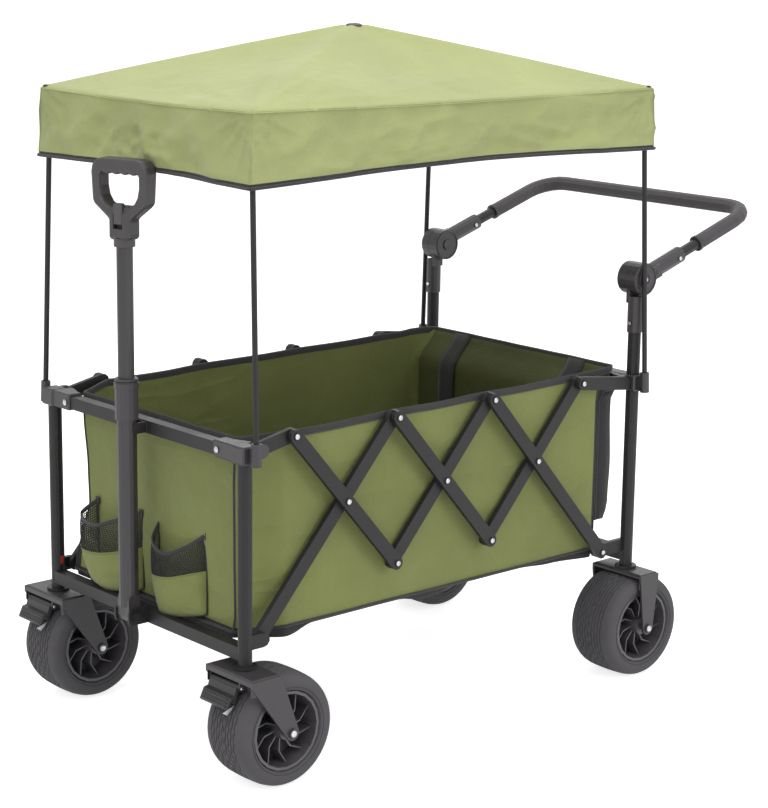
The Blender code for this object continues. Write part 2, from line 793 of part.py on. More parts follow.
def build_forks():
    for word, side in SIDES:
        x = side * LEG_X
        for name, y, axle_y, front, back in (
            (f"caster_fork_{word}", -LEG_Y, -LEG_Y + TRAIL, -0.030, 0.024),
            (f"rear_fork_{word}", LEG_Y, LEG_Y, -CROWN_DEPTH / 2, CROWN_DEPTH / 2),
        ):
            crown, cuts, details = build_fork(x, y, axle_y, front, back)
            if axle_y != y:
                low = (x - FORK_REACH, y + front - 0.01, CROWN_TOP - CROWN_HEIGHT - 0.01)
                cuts.append(box(low, (x + FORK_REACH, y + PEDAL_RECESS, CROWN_TOP - CROWN_LIP)))
                details += pedal_pin(x, y)
            crown = combined(crown, cut=cuts)
            bore = around(STEM_RADIUS, TUBE_SIDES)
            stem = rod(bore, (x, y, CROWN_TOP - STEM_LENGTH - FIT), (x, y, CROWN_TOP + 0.01))
            solid(name, crown, join=details, cut=[stem], pivot=(x, y, CROWN_TOP))


def build_pedal(word, side):
    """A brake pedal: barrel on its pin, tread plate ahead of it, shoe reaching to the tyre."""
    x, y = side * LEG_X, -LEG_Y
    at = (y + PEDAL_PIVOT_Y, PEDAL_PIVOT_Z)
    near, far = x + PEDAL_NEAR_X, x + PEDAL_FAR_X
    middle, width = (near + far) / 2, far - near
    shares = [
        (-0.06, 0.17), (-0.30, -0.02), (-0.42, -0.34), (-0.72, -0.40), (-1.00, -0.93), (-0.88, -1.03),
        (-0.60, -0.56), (-0.42, -0.52), (-0.44, -0.76), (-0.36, -0.78), (-0.20, -0.46), (-0.06, -0.17),
    ]
    profile = [(at[0] + v * PEDAL_REACH, at[1] + w * PEDAL_DROP) for v, w in shares]
    plate = side_plate([profile], middle, width - 0.0012)
    treads = []
    for share in (0.18, 0.5, 0.82):
        centre = (
            at[0] - PEDAL_REACH * (0.72 + 0.28 * share) - 0.0002,
            at[1] - PEDAL_DROP * (0.40 + 0.53 * share),
        )
        treads.append(side_plate([circle(centre, 0.0014, 6)], middle, width * 0.86))
    bore = rod(around(PEDAL_PIN_RADIUS, 8, RUNNING), (near - 0.01, *at), (far + 0.01, *at), 8)
    barrel = rod(PEDAL_BARREL, (near, *at), (far, *at), 12)
    solid(f"brake_pedal_{word}", barrel, [plate, *treads], [bore], "black_plastic", (middle, *at))


def handle_at(z):
    return (0, HANDLE_Y, z)


def build_pull_handle():
    pivot = handle_at(HANDLE_PIVOT_Z)
    foot = side_plate(
        [capsule((HANDLE_Y, HANDLE_PIVOT_Z), (HANDLE_Y, TUBE_FLOOR), OUTER_TUBE_FOOT)],
        0,
        2 * OUTER_TUBE_RADIUS - 0.0004,
    )
    inside = around(INNER_TUBE_RADIUS, 16, RUNNING)
    outer_top = COLLAR_TOP - 0.008
    solid(
        "handle_outer_tube",
        rod(OUTER_TUBE_RADIUS, handle_at(TUBE_FLOOR - 0.010), handle_at(outer_top), 16),
        [foot],
        [
            rod(inside, handle_at(TUBE_FLOOR), handle_at(COLLAR_TOP), 16),
            rod(
                around(HANDLE_PIN_RADIUS, 10, RUNNING),
                (-0.1, HANDLE_Y, HANDLE_PIVOT_Z),
                (0.1, HANDLE_Y, HANDLE_PIVOT_Z),
                10,
            ),
        ],
        pivot=pivot,
    )
    seat = around(OUTER_TUBE_RADIUS, 16)
    collar = [
        rod(COLLAR_RADIUS + 0.0022, handle_at(COLLAR_TOP - 0.010), handle_at(COLLAR_TOP - 0.002), 16)
    ]
    solid(
        "handle_sleeve",
        rod(COLLAR_RADIUS + 0.0010, handle_at(COLLAR_LOW), handle_at(COLLAR_TOP), 16),
        collar,
        [
            rod(seat, handle_at(COLLAR_LOW - 0.01), handle_at(outer_top + FIT), 16),
            rod(inside, handle_at(COLLAR_LOW), handle_at(COLLAR_TOP + 0.01), 16),
        ],
        "black_plastic",
        handle_at(COLLAR_TOP),
    )
    solid(
        "handle_inner_tube",
        rod(INNER_TUBE_RADIUS, handle_at(INNER_TUBE_LOW), handle_at(GRIP_TOP - NECK_INSERT), 16),
        pivot=handle_at(GRIP_TOP - NECK_INSERT),
    )
    build_grip()


def finger_hole():
    """The grip's opening, with four finger bumps along its upper edge."""
    outline = []
    for k in range(17):
        u = HOLE_HALF_WIDTH * 0.9 * (k / 8 - 1)
        outline.append((u, -HOLE_TOP - 0.003 * abs(math.sin(math.pi * k / 4))))
    deep = HOLE_LOW - HOLE_TOP
    for across, down in ((1, 0.09), (1, 0.42), (0.92, 0.70), (0.75, 0.90), (0.5, 1)):
        outline.append((HOLE_HALF_WIDTH * across, -HOLE_TOP - deep * down))
    outline += [(-u, v) for u, v in reversed(outline[17:])]
    return outline


def build_grip():
    turn = Matrix.Translation(handle_at(GRIP_TOP)) @ Matrix.Rotation(GRIP_TURN, 4, "Z")
    half = NECK_WIDTH / 2
    right = [
        (half, -NECK_LENGTH, 0.007),
        (half, -GRIP_WAIST, 0.012),
        (GRIP_HALF_WIDTH - 0.004, -GRIP_SHOULDER, 0.014),
        (GRIP_HALF_WIDTH, 0, 0.020),
    ]
    outline = rounded(right + [(-u, v, radius) for u, v, radius in reversed(right)], 3)
    plate = flat([outline, finger_hole()], GRIP_DEPTH, turn @ FRONT_PLANE, 0.005, 1)
    neck = box(
        (-half + 0.0005, -NECK_DEPTH / 2, -NECK_LENGTH - 0.0004),
        (half - 0.0005, NECK_DEPTH / 2, -HOLE_LOW - 0.007),
        0.004,
    )
    neck.matrix_world = turn
    collar_low = GRIP_TOP - NECK_LENGTH - GRIP_COLLAR_LENGTH
    collar = rod(
        GRIP_COLLAR_RADIUS, handle_at(collar_low), handle_at(collar_low + GRIP_COLLAR_LENGTH + 0.002), 16
    )
    bore = rod(
        around(INNER_TUBE_RADIUS, 16),
        handle_at(collar_low - 0.01),
        handle_at(GRIP_TOP - NECK_INSERT + FIT),
        16,
    )
    front = -NECK_DEPTH / 2 - 0.001
    back = front + BUTTON_DEPTH
    wide = BUTTON_WIDTH / 2
    low = -BUTTON_TOP - BUTTON_LENGTH
    slot = box(
        (-wide - RUNNING, -GRIP_DEPTH, low - BUTTON_TRAVEL - RUNNING),
        (wide + RUNNING, back + RUNNING, -BUTTON_TOP + BUTTON_TRAVEL),
    )
    slot.matrix_world = turn
    surface = "black_plastic"
    solid("handle_grip", plate, [neck, collar], [bore, slot], surface, handle_at(GRIP_TOP))
    button = box((-wide, front, low), (wide, back, -BUTTON_TOP), 0.0015)
    button.matrix_world = turn
    solid("grip_button", button, (), (), surface, handle_at(GRIP_TOP - BUTTON_TOP))


def arm_point(x, along):
    """A point on the push bar's arm, at a distance from the hub's axis."""
    return Vector((x, HUB_Y + along * math.cos(PUSH_SLOPE), HUB_Z + along * math.sin(PUSH_SLOPE)))


def push_route(start):
    """The push bar's centre line from one arm round to the other."""
    right = [arm_point(LEG_X, start)]
    for k in range(6):
        angle = math.pi / 2 * k / 5
        x = LEG_X - PUSH_CORNER * (1 - math.cos(angle))
        right.append(arm_point(x, PUSH_REACH - PUSH_CORNER * (1 - math.sin(angle))))
    return right + [Vector((-p.x, p.y, p.z)) for p in reversed(right)]


def build_hub(word, side):
    x = side * LEG_X
    axis = (HUB_Y, HUB_Z)
    inner_face = x - side * HUB_INWARD
    outer_face = x + side * HUB_OUTWARD
    split_low = side * (HUB_SPLIT - FIT / 2)
    split_high = side * (HUB_SPLIT + FIT / 2)
    web = SLEEVE_RADIUS * 0.92
    neck_low = (x - side * web, LEG_Y - 0.011, SLEEVE_TOP - 0.012)
    sleeve = [
        rod(SLEEVE_RADIUS, (x, LEG_Y, SLEEVE_LOW), (x, LEG_Y, SLEEVE_TOP)),
        box(neck_low, (x + split_low, LEG_Y + 0.011, HUB_Z - 0.018)),
        rod(HUB_PIN_RADIUS, (x - side * 0.010, *axis), (outer_face + side * 0.001, *axis), 12),
        rod(0.0075, (outer_face + side * FIT, *axis), (outer_face + side * 0.0020, *axis), 12),
    ]
    post = rod(around(LEG_RADIUS, TUBE_SIDES), (x, LEG_Y, SLEEVE_LOW - 0.01), (x, LEG_Y, POST_TOP + FIT))
    low = rod(HUB_RADIUS, (inner_face, *axis), (x + split_low, *axis), 20)
    solid(f"hub_lower_{word}", low, sleeve, [post, snap_bore(side)], "black_plastic", (x, *axis))
    turn = Matrix.Translation((x, *axis)) @ Matrix.Rotation(PUSH_SLOPE, 4, "X")
    arm_web = box((split_high, 0.010, -0.011), (side * STUB_RADIUS * 0.92, STUB_START + 0.012, 0.011))
    arm_web.matrix_world = turn
    stub = rod(STUB_RADIUS, arm_point(x, STUB_START), arm_point(x, STUB_END))
    heads = []
    for face in (-1, 1):
        at = arm_point(x, STUB_END - 0.014)
        reach = Vector((face * STUB_RADIUS, 0, 0))
        heads.append(rod(0.0045, at + reach * 0.86, at + reach * 1.10, PIN_SIDES))
    upper = rod(HUB_RADIUS, (x + split_high, *axis), (outer_face, *axis), 20)
    cuts = [
        rod(around(HUB_PIN_RADIUS, 12, RUNNING), (x - side * 0.03, *axis), (x + side * 0.05, *axis), 12),
        rod(
            around(PUSH_TUBE_RADIUS, TUBE_SIDES),
            arm_point(x, PUSH_TUBE_START - FIT),
            arm_point(x, STUB_END + 0.01),
        ),
    ]
    solid(f"hub_upper_{word}", upper, [arm_web, stub, *heads], cuts, "black_plastic", (x, *axis))
    for place, end in (("front", -1), ("rear", 1)):
        height = SLEEVE_LOW + SNAP_HEIGHT
        inner = (x, LEG_Y + end * (SNAP_TRAVEL + 0.001), height)
        outer = (x, LEG_Y + end * (SLEEVE_RADIUS + SNAP_PROUD), height)
        solid(f"snap_button_{place}_{word}", rod(SNAP_RADIUS, inner, outer, 10), pivot=outer)


def build_push_bar():
    for word, side in SIDES:
        build_hub(word, side)
    at = (0, HUB_Y, HUB_Z)
    solid("push_bar", swept(push_route(PUSH_TUBE_START), PUSH_TUBE_RADIUS, 10), pivot=at)
    inside = swept(push_route(FOAM_START - 0.02), around(PUSH_TUBE_RADIUS, 10), 10)
    foam = swept(push_route(FOAM_START), FOAM_RADIUS, 10)
    solid("push_grip", foam, cut=[inside], surface="foam", pivot=at)


def perimeter(steps_x, steps_y):
    """Points round a unit square as (x, y, how far the point is from the nearest corner)."""
    points = []
    for k in range(steps_y):
        along = -1 + 2 * k / steps_y
        points.append((1, along, (1 - along * along) ** 1.5))
    for k in range(steps_x):
        along = 1 - 2 * k / steps_x
        points.append((along, 1, (1 - along * along) ** 1.5))
    return points + [(-x, -y, middle) for x, y, middle in points]


def roof_ring(scale, z, drop=0.0, grow=0.0, pull=0.0):
    ring = []
    for x, y, middle in perimeter(ROOF_STEPS_X, ROOF_STEPS_Y):
        inward = pull * middle
        half_x = ROOF_HALF_X * scale + grow - (inward if abs(x) == 1 else 0)
        half_y = ROOF_HALF_Y * scale + grow - (inward if abs(y) == 1 else 0)
        ring.append((x * half_x, y * half_y, z - drop * middle))
    return ring


def hem_ring():
    """The valance's lower edge, which is cut higher in the middle of each side."""
    ring = roof_ring(1, ROOF_EDGE_Z - VALANCE, 0, VALANCE_FLARE, VALANCE_PULL)
    lifted = []
    for (x, y, z), (across, along, middle) in zip(ring, perimeter(ROOF_STEPS_X, ROOF_STEPS_Y)):
        corner = HEM_FRONT_LIFT + (HEM_REAR_LIFT - HEM_FRONT_LIFT) * (1 + along) / 2
        rise = HEM_SIDE_RISE if abs(across) == 1 else HEM_END_RISE
        lifted.append((x, y, z + corner + rise * middle))
    return lifted


def build_canopy():
    low = ROOF_EDGE_Z - VALANCE
    rings = [
        hem_ring(),
        roof_ring(1, (low + ROOF_EDGE_Z) / 2, 0, VALANCE_FLARE * 0.5, VALANCE_PULL),
        roof_ring(1, ROOF_EDGE_Z, ROOF_EDGE_SAG, 0, VALANCE_PULL * 0.5),
    ]
    for scale in (0.80, 0.60, 0.40, 0.20, ROOF_FLAT):
        z = ROOF_PEAK_Z - (ROOF_PEAK_Z - ROOF_EDGE_Z) * scale
        rings.append(roof_ring(scale, z, ROOF_SAG * 4 * scale * (1 - scale) + ROOF_EDGE_SAG * scale))
    cloth = thickened(loft(rings), ROOF_CLOTH, -1)
    solid("canopy_roof", cloth, surface="canopy_cloth", pivot=(0, 0, ROOF_EDGE_Z))
    build_canopy_frame()


def build_canopy_frame():
    """The four hips under the roof: a hub at the peak and a cap on the top of each pole."""
    below = ROOF_CLOTH + CANOPY_ROD_RADIUS + 0.0014
    rise = (ROOF_PEAK_Z - ROOF_EDGE_Z) / math.hypot(ROOF_HALF_X, ROOF_HALF_Y)
    peak = ROOF_PEAK_Z - below * math.hypot(1, rise)
    flat_top = ROOF_PEAK_Z - (ROOF_PEAK_Z - ROOF_EDGE_Z) * ROOF_FLAT - ROOF_CLOTH - 0.0008
    hub = rod(CANOPY_HUB_RADIUS, (0, 0, flat_top - CANOPY_HUB_HEIGHT), (0, 0, flat_top - 0.0035), 12)
    rods = []
    bores = []
    for _, side in SIDES:
        for end in (-1, 1):
            foot, top = pole_line(side, end)
            along = (top - foot).normalized()
            reach = math.hypot(top.x, top.y)
            corner = Vector((top.x, top.y, peak - rise * reach))
            cap_top = top + along * (corner.z - top.z)
            rods.append(rod(POLE_CAP_RADIUS, cap_top - along * POLE_CAP_LENGTH, cap_top, 12))
            inner = Vector((top.x * 0.02, top.y * 0.02, flat_top - CANOPY_HUB_HEIGHT * 0.75))
            rods.append(rod(CANOPY_ROD_RADIUS, corner, inner, POLE_SIDES))
            bores.append(rod(around(POLE_RADIUS, POLE_SIDES), foot, top + along * FIT, POLE_SIDES))
    solid("canopy_frame", hub, rods, bores, pivot=(0, 0, ROOF_PEAK_Z))


def bag_ring(z, inset, bow=0.0):
    """The bag's plan at a height: square at the back, its front corners cut off at a slant."""
    half, back = BAG_HALF_X - inset, BAG_BACK_Y - inset
    right = [
        (BAG_FACE_HALF_X - inset / 2, BAG_FRONT_Y + inset, BAG_FACE_CORNER),
        (half, BAG_SHOULDER_Y + inset / 2, BAG_CORNER),
        (half, back, BAG_CORNER),
    ]
    outline = rounded(right + [(-u, v, radius) for u, v, radius in reversed(right)], 3)
    ring = []
    middle_y = (BAG_FRONT_Y + BAG_BACK_Y) / 2
    half_y = (BAG_BACK_Y - BAG_FRONT_Y) / 2
    for k, (x, y) in enumerate(outline):
        ring.append((x, y))
        after = outline[(k + 1) % len(outline)]
        parts = round((math.dist((x, y), after) + 2 * inset) / 0.1) if k % 4 == 3 else 1
        ring += [
            (x + (after[0] - x) * step / parts, y + (after[1] - y) * step / parts)
            for step in range(1, parts)
        ]
    shaped = []
    for x, y in ring:
        u, v = x / BAG_HALF_X, (y - middle_y) / half_y
        out = bow * (1 - min(abs(u), abs(v)) ** 2)
        if abs(u) > abs(v):
            x += math.copysign(out, x)
        else:
            y += math.copysign(out, y - middle_y)
        shaped.append((x, y, z))
    return shaped


def pouch(low, high, bottom, top, wall, radius):
    """A sewn pouch, open at the top."""
    height = top - bottom
    middle = Matrix.Translation((0, 0, (bottom + top) / 2))
    outer = flat([rounded_box(low, high, radius)], height, middle)
    inset_low = [value + wall for value in low]
    inset_high = [value - wall for value in high]
    hollow = rounded_box(inset_low, inset_high, radius - wall)
    inner = flat([hollow], height, Matrix.Translation((0, 0, wall)) @ middle)
    return combined(outer, cut=[inner])


def build_bag():
    rings = [
        bag_ring(BAG_RIM_Z, 0, 0),
        bag_ring(0.46, 0, BAG_BOW * 0.6),
        bag_ring(0.36, 0, BAG_BOW),
        bag_ring(BAG_SEAM_Z, 0, BAG_BOW * 0.6),
        bag_ring((BAG_SEAM_Z + BAG_FLOOR_Z) / 2 - 0.004, 0.008, 0),
        bag_ring(BAG_FLOOR_Z, 0.026, 0),
    ]
    shell = thickened(loft(rings), BAG_CLOTH, -1)
    pieces = []
    for centre in POCKET_CENTRES_X:
        pieces.append(
            pouch(
                (centre - POCKET_WIDTH / 2, BAG_FRONT_Y - POCKET_DEPTH),
                (centre + POCKET_WIDTH / 2, BAG_FRONT_Y + 0.0015),
                POCKET_LOW,
                POCKET_TOP,
                POCKET_CLOTH,
                0.010,
            )
        )
    pieces.append(
        pouch(
            (-POUCH_HALF_X, BAG_BACK_Y - 0.0015),
            (POUCH_HALF_X, BAG_BACK_Y + POUCH_DEPTH),
            POUCH_LOW,
            POUCH_TOP,
            POCKET_CLOTH,
            0.012,
        )
    )
    pieces += [strap(side) for _, side in SIDES]
    solid("bag", shell, pieces, surface="green_cloth", pivot=(0, 0, BAG_RIM_Z))


def strap(side):
    """A webbing loop from the bag's rim round the rear top rail."""
    x, y = side * STRAP_X, LEG_Y
    gap = RAIL / 2 + FIT
    out = gap + STRAP_CLOTH
    half = STRAP_WIDTH / 2
    loop = box((x - half, y - out, TOP_RAIL_Z - out), (x + half, y + out, TOP_RAIL_Z + out))
    rail = box((x - 0.1, y - gap, TOP_RAIL_Z - gap), (x + 0.1, y + gap, TOP_RAIL_Z + gap))
    tail_end = (x + half, BAG_BACK_Y - 0.0015, TOP_RAIL_Z + out)
    tail = box((x - half, y - out + 0.001, TOP_RAIL_Z + gap), tail_end)
    return combined(loop, join=[tail], cut=[rail])


def build():
    build_lattice()
    build_front_frame()
    build_rear_frame()
    build_top_rails()
    build_brackets_and_poles()
    for word, side in SIDES:
        build_wheel(f"front_{word}", side * LEG_X, -LEG_Y + TRAIL)
        build_wheel(f"rear_{word}", side * LEG_X, LEG_Y)
        build_pedal(word, side)
    build_forks()
    build_pull_handle()
    build_push_bar()
    build_canopy()
    build_bag()


clear_scene()
WAGON = bpy.data.collections.new(COLLECTION)
bpy.context.scene.collection.children.link(WAGON)
MATERIALS = {name: finish(name, *values) for name, values in FINISHES.items()}
build()
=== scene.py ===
import json
import math

import bmesh
import bpy
from mathutils import Matrix, Vector, noise


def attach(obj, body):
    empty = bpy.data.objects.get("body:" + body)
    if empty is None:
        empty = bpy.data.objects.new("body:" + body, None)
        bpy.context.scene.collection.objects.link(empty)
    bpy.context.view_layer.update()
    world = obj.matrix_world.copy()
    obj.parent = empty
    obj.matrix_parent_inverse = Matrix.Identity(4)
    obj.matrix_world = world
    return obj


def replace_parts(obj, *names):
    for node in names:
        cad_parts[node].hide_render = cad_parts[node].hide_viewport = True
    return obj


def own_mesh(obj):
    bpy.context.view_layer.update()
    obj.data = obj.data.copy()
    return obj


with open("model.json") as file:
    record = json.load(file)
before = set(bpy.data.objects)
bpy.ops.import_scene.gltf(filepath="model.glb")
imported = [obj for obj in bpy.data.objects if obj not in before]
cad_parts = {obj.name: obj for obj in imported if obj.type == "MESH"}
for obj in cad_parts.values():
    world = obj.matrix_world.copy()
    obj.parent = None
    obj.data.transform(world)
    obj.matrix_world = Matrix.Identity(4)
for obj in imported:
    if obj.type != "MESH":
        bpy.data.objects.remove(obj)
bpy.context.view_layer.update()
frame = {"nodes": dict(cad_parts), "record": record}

# One fixed draw of the noise that shapes the cloth, so that every run gives the same creases
noise.seed_set(1795679889)

# Sizes that the CAD frame has too
LEG_X, LEG_Y = 0.251, 0.414
OUTER_FACE = LEG_X + 0.0051 + 0.0045
RAIL_Z, RAIL_HALF = 0.5115, 0.0119
BAG_X, BAG_FRONT, BAG_BACK = 0.2335, -0.391, 0.353
RIM_Z, SEAM_Z, FLOOR_Z = 0.531, 0.228, 0.205
FACE_X, SHOULDER_Y = 0.197, -0.326
ROOF_X, ROOF_Y, EDGE_Z, PEAK_Z, VALANCE = 0.268, 0.417, 1.008, 1.110, 0.109
ROD_PEAK_Z = 1.106
POLE_FOOT, POLE_TOP = (0.2785, 0.414, 0.5035), (0.2585, 0.4075, 0.990)
WHEEL_R, TRAIL = 0.089, 0.0458
PITCH, MIDDLE_Y = 0.203, -0.0205
TOP = [(MIDDLE_Y + PITCH * k, 0.527) for k in (-1.5, -0.5, 0.5, 1.5)]
CROSS = [(MIDDLE_Y + PITCH * k, 0.411) for k in (-1, 0, 1)]
LOW = [(MIDDLE_Y + PITCH * k, 0.295) for k in (-0.5, 0.5)]
REAR_END = (CROSS[2][0] + 0.1015 * 0.185 / 0.116, 0.226)
PEDAL_Z = 0.165
SIDES = (("left", -1), ("right", 1))
HUB_AXIS = (0.422, 0.688)
SLOPE = math.radians(18.5)


def arm_at(x, along):
    """A point on the push bar's arm, at a distance from the hub's axis."""
    return Vector((x, HUB_AXIS[0] + along * math.cos(SLOPE), HUB_AXIS[1] + along * math.sin(SLOPE)))


# Materials


class Shader:
    """A procedural material, built node by node."""

    def __init__(self, name):
        self.material = bpy.data.materials.new(name)
        self.material.use_nodes = True
        self.tree = self.material.node_tree
        self.shader = self.tree.nodes["Principled BSDF"]
        self.coords = self.tree.nodes.new("ShaderNodeTexCoord")

    def node(self, kind, inputs=(), **settings):
        made = self.tree.nodes.new(kind)
        for key, value in settings.items():
            setattr(made, key, value)
        for key, value in dict(inputs).items():
            self.put(made.inputs[key], value)
        return made

    def put(self, socket, value):
        if isinstance(value, bpy.types.NodeSocket):
            self.tree.links.new(value, socket)
        else:
            socket.default_value = value

    def noise(self, scale, detail=3.0, rough=0.55, where="Object", distortion=0.0):
        vector = where if isinstance(where, bpy.types.NodeSocket) else self.coords.outputs[where]
        made = self.node(
            "ShaderNodeTexNoise",
            {"Vector": vector, "Scale": scale, "Detail": detail, "Roughness": rough,
             "Distortion": distortion},
        )
        return made.outputs["Fac"]

    def wave(self, pitch, direction, distortion):
        """Threads or ribs a pitch apart, across the UV map in metres."""
        made = self.node(
            "ShaderNodeTexWave",
            {"Vector": self.coords.outputs["UV"], "Scale": 2 * math.pi / (20 * pitch),
             "Distortion": distortion, "Detail": 1.0},
            wave_type="BANDS",
        )
        made.bands_direction = direction
        return made.outputs["Fac"]

    def math(self, operation, first, second=0.0):
        made = self.node("ShaderNodeMath", operation=operation)
        self.put(made.inputs[0], first)
        self.put(made.inputs[1], second)
        return made.outputs[0]

    def span(self, value, low, high, to_low, to_high):
        made = self.node(
            "ShaderNodeMapRange",
            {"Value": value, "From Min": low, "From Max": high, "To Min": to_low, "To Max": to_high},
        )
        return made.outputs["Result"]

    def mix(self, factor, first, second):
        made = self.node("ShaderNodeMix", data_type="RGBA", blend_type="MIX")
        self.put(made.inputs[0], factor)
        self.put(made.inputs[6], first)
        self.put(made.inputs[7], second)
        return made.outputs[2]

    def bump(self, height, strength, distance, onto=None):
        made = self.node(
            "ShaderNodeBump", {"Height": height, "Strength": strength, "Distance": distance}
        )
        if onto is not None:
            self.put(made.inputs["Normal"], onto)
        return made.outputs["Normal"]

    def set(self, **values):
        for key, value in values.items():
            self.put(self.shader.inputs[key.replace("_", " ")], value)
        return self.material


def srgb(red, green, blue):
    """The linear colour of three 0 to 255 display values."""
    line = [v / 255 for v in (red, green, blue)]
    return (*[v / 12.92 if v <= 0.04045 else ((v + 0.055) / 1.055) ** 2.4 for v in line], 1)


def scaled(colour, factor):
    return (*[min(1.0, v * factor) for v in colour[:3]], 1)


THREADS, RIBS = 0.0011, 0.0024


def fold_lines(s, scale, bend):
    """Crests of folded cloth, in a few places only."""
    lie = s.node(
        "ShaderNodeMapping",
        {"Vector": s.coords.outputs["Object"], "Rotation": (0.62, 0.25, 0.35), "Scale": (0.55, 0.5, 1.7)},
    ).outputs["Vector"]
    line = s.math("ABSOLUTE", s.math("SUBTRACT", s.noise(scale, 1.0, 0.4, lie, bend), 0.5))
    crest = s.span(line, 0.0, 0.13, 1.0, 0.0)
    return s.math("MULTIPLY", crest, s.span(s.noise(scale * 0.45, 1.0), 0.42, 0.62, 0.0, 1.0))


def cloth(name, colour, wear=1.0, sheen=0.25, crease=1.0, folds=0.0):
    """Woven polyester: threads with painted shade between them, soft creases, sharp fold lines and slightly
    uneven dye.
    """
    s = Shader(name)
    warp = s.wave(THREADS, "X", 0.4)
    weft = s.wave(THREADS, "Y", 0.4)
    weave = s.math("ADD", s.math("MULTIPLY", warp, 0.5), s.math("MULTIPLY", weft, 0.5))
    patches = s.noise(7.0, 4.0, 0.6)
    slubs = s.noise(420.0, 2.0, 0.6)
    base = s.mix(s.span(patches, 0.30, 0.72, 0.0, wear), scaled(colour, 0.90), scaled(colour, 1.10))
    base = s.mix(s.span(slubs, 0.35, 0.75, 0.0, 0.22), base, scaled(colour, 0.72))
    # Painted shade: the gaps between the threads are painted darker.
    base = s.mix(s.span(weave, 0.05, 0.45, 0.22, 0.0), base, scaled(colour, 0.55))
    creases = s.noise(13.0, 5.0, 0.62, distortion=0.7)
    normal = s.bump(creases, 0.55 * crease, 0.006)
    if folds:
        normal = s.bump(fold_lines(s, 5.0, 0.15), 0.8 * folds, 0.009, normal)
        normal = s.bump(fold_lines(s, 13.0, 0.25), 0.45 * folds, 0.004, normal)
    normal = s.bump(s.noise(75.0, 3.0, 0.6), 0.22, 0.0015, normal)
    normal = s.bump(weave, 0.35, 0.0003, normal)
    return s.set(
        Base_Color=base, Roughness=s.span(slubs, 0.3, 0.7, 0.68, 0.86), Normal=normal,
        Sheen_Weight=sheen, Sheen_Roughness=0.45, Specular_IOR_Level=0.35,
    )


def webbing(name, colour):
    """Heavy ribbed tape with painted highlights on its rib crests and painted shade in the hollows between
    them.
    """
    s = Shader(name)
    ribs = s.wave(RIBS, "DIAGONAL", 0.3)
    cross = s.wave(RIBS * 0.6, "Y", 0.2)
    # Painted light and shade: the ribs' crests are painted lighter and their hollows darker.
    tint = s.mix(s.span(ribs, 0.1, 0.6, 0.5, 0.0), scaled(colour, 1.25), scaled(colour, 0.55))
    tint = s.mix(s.span(s.noise(60.0), 0.35, 0.7, 0.0, 0.35), tint, scaled(colour, 1.6))
    normal = s.bump(s.math("ADD", ribs, cross), 0.5, 0.0005)
    return s.set(Base_Color=tint, Roughness=0.82, Normal=normal, Sheen_Weight=0.2)


def powder_coat(name, colour):
    """Satin powder-coated steel: fine orange peel, faint dust and rubbed spots."""
    s = Shader(name)
    peel = s.noise(900.0, 2.0, 0.5)
    cloud = s.noise(18.0, 4.0, 0.6)
    rubbed = s.math(
        "MULTIPLY",
        s.span(s.noise(70.0, 6.0, 0.7), 0.62, 0.72, 0.0, 0.22),
        s.span(s.noise(6.0), 0.45, 0.6, 0, 1),
    )
    base = s.mix(s.span(cloud, 0.3, 0.75, 0.0, 1.0), scaled(colour, 0.94), scaled(colour, 1.08))
    base = s.mix(rubbed, base, srgb(128, 126, 127))
    rough = s.math("ADD", s.span(cloud, 0.3, 0.7, 0.40, 0.50), s.math("MULTIPLY", peel, 0.08))
    normal = s.bump(peel, 0.16, 0.0003)
    return s.set(Base_Color=base, Roughness=rough, Normal=normal, Specular_IOR_Level=0.30)


def drawn_tube(name, colour):
    """Anodised tube with fine grooves along its length, the grooves painted darker as painted shade."""
    s = Shader(name)
    place = s.node("ShaderNodeSeparateXYZ", {"Vector": s.coords.outputs["Object"]})
    turn = s.math("ARCTAN2", place.outputs["X"], place.outputs["Y"])
    groove = s.math("ABSOLUTE", s.math("SINE", s.math("MULTIPLY", turn, 12.0)))
    line = s.span(groove, 0.0, 0.45, 0.0, 1.0)
    cloud = s.noise(22.0, 4.0, 0.6)
    base = s.mix(s.span(cloud, 0.3, 0.7, 0.0, 1.0), scaled(colour, 0.92), scaled(colour, 1.10))
    # Painted shade: the grooves are painted darker.
    base = s.mix(line, scaled(colour, 0.45), base)
    normal = s.bump(line, 0.6, 0.0005, s.bump(s.noise(800.0), 0.12, 0.0002))
    return s.set(Base_Color=base, Roughness=s.span(cloud, 0.3, 0.7, 0.36, 0.46), Normal=normal)


def moulded(name, colour, rough=0.5, grain=1.0):
    """Injection-moulded plastic with a fine spark grain and pale scuffs."""
    s = Shader(name)
    grit = s.noise(1300.0, 2.0, 0.5)
    cloud = s.noise(24.0, 4.0, 0.6)
    scuff = s.math(
        "MULTIPLY",
        s.span(s.noise(55.0, 6.0, 0.75), 0.60, 0.72, 0.0, 0.35),
        s.span(s.noise(9.0), 0.45, 0.6, 0.0, 1.0),
    )
    base = s.mix(s.span(cloud, 0.3, 0.7, 0.0, 1.0), scaled(colour, 0.9), scaled(colour, 1.12))
    base = s.mix(scuff, base, scaled(colour, 2.2))
    satin = s.span(cloud, 0.3, 0.7, rough - 0.05, rough + 0.06)
    satin = s.math("ADD", satin, s.math("MULTIPLY", scuff, 0.3))
    return s.set(Base_Color=base, Roughness=satin, Normal=s.bump(grit, 0.22 * grain, 0.0003))


def rubber(name, colour):
    """Foamed tyre rubber with patches of dust."""
    s = Shader(name)
    cells = s.noise(700.0, 3.0, 0.6)
    dust = s.noise(14.0, 5.0, 0.65)
    base = s.mix(s.span(dust, 0.35, 0.72, 0.0, 1.0), scaled(colour, 0.85), scaled(colour, 1.22))
    rough = s.span(dust, 0.3, 0.7, 0.66, 0.82)
    normal = s.bump(cells, 0.35, 0.0005)
    return s.set(Base_Color=base, Roughness=rough, Normal=normal, Specular_IOR_Level=0.35)


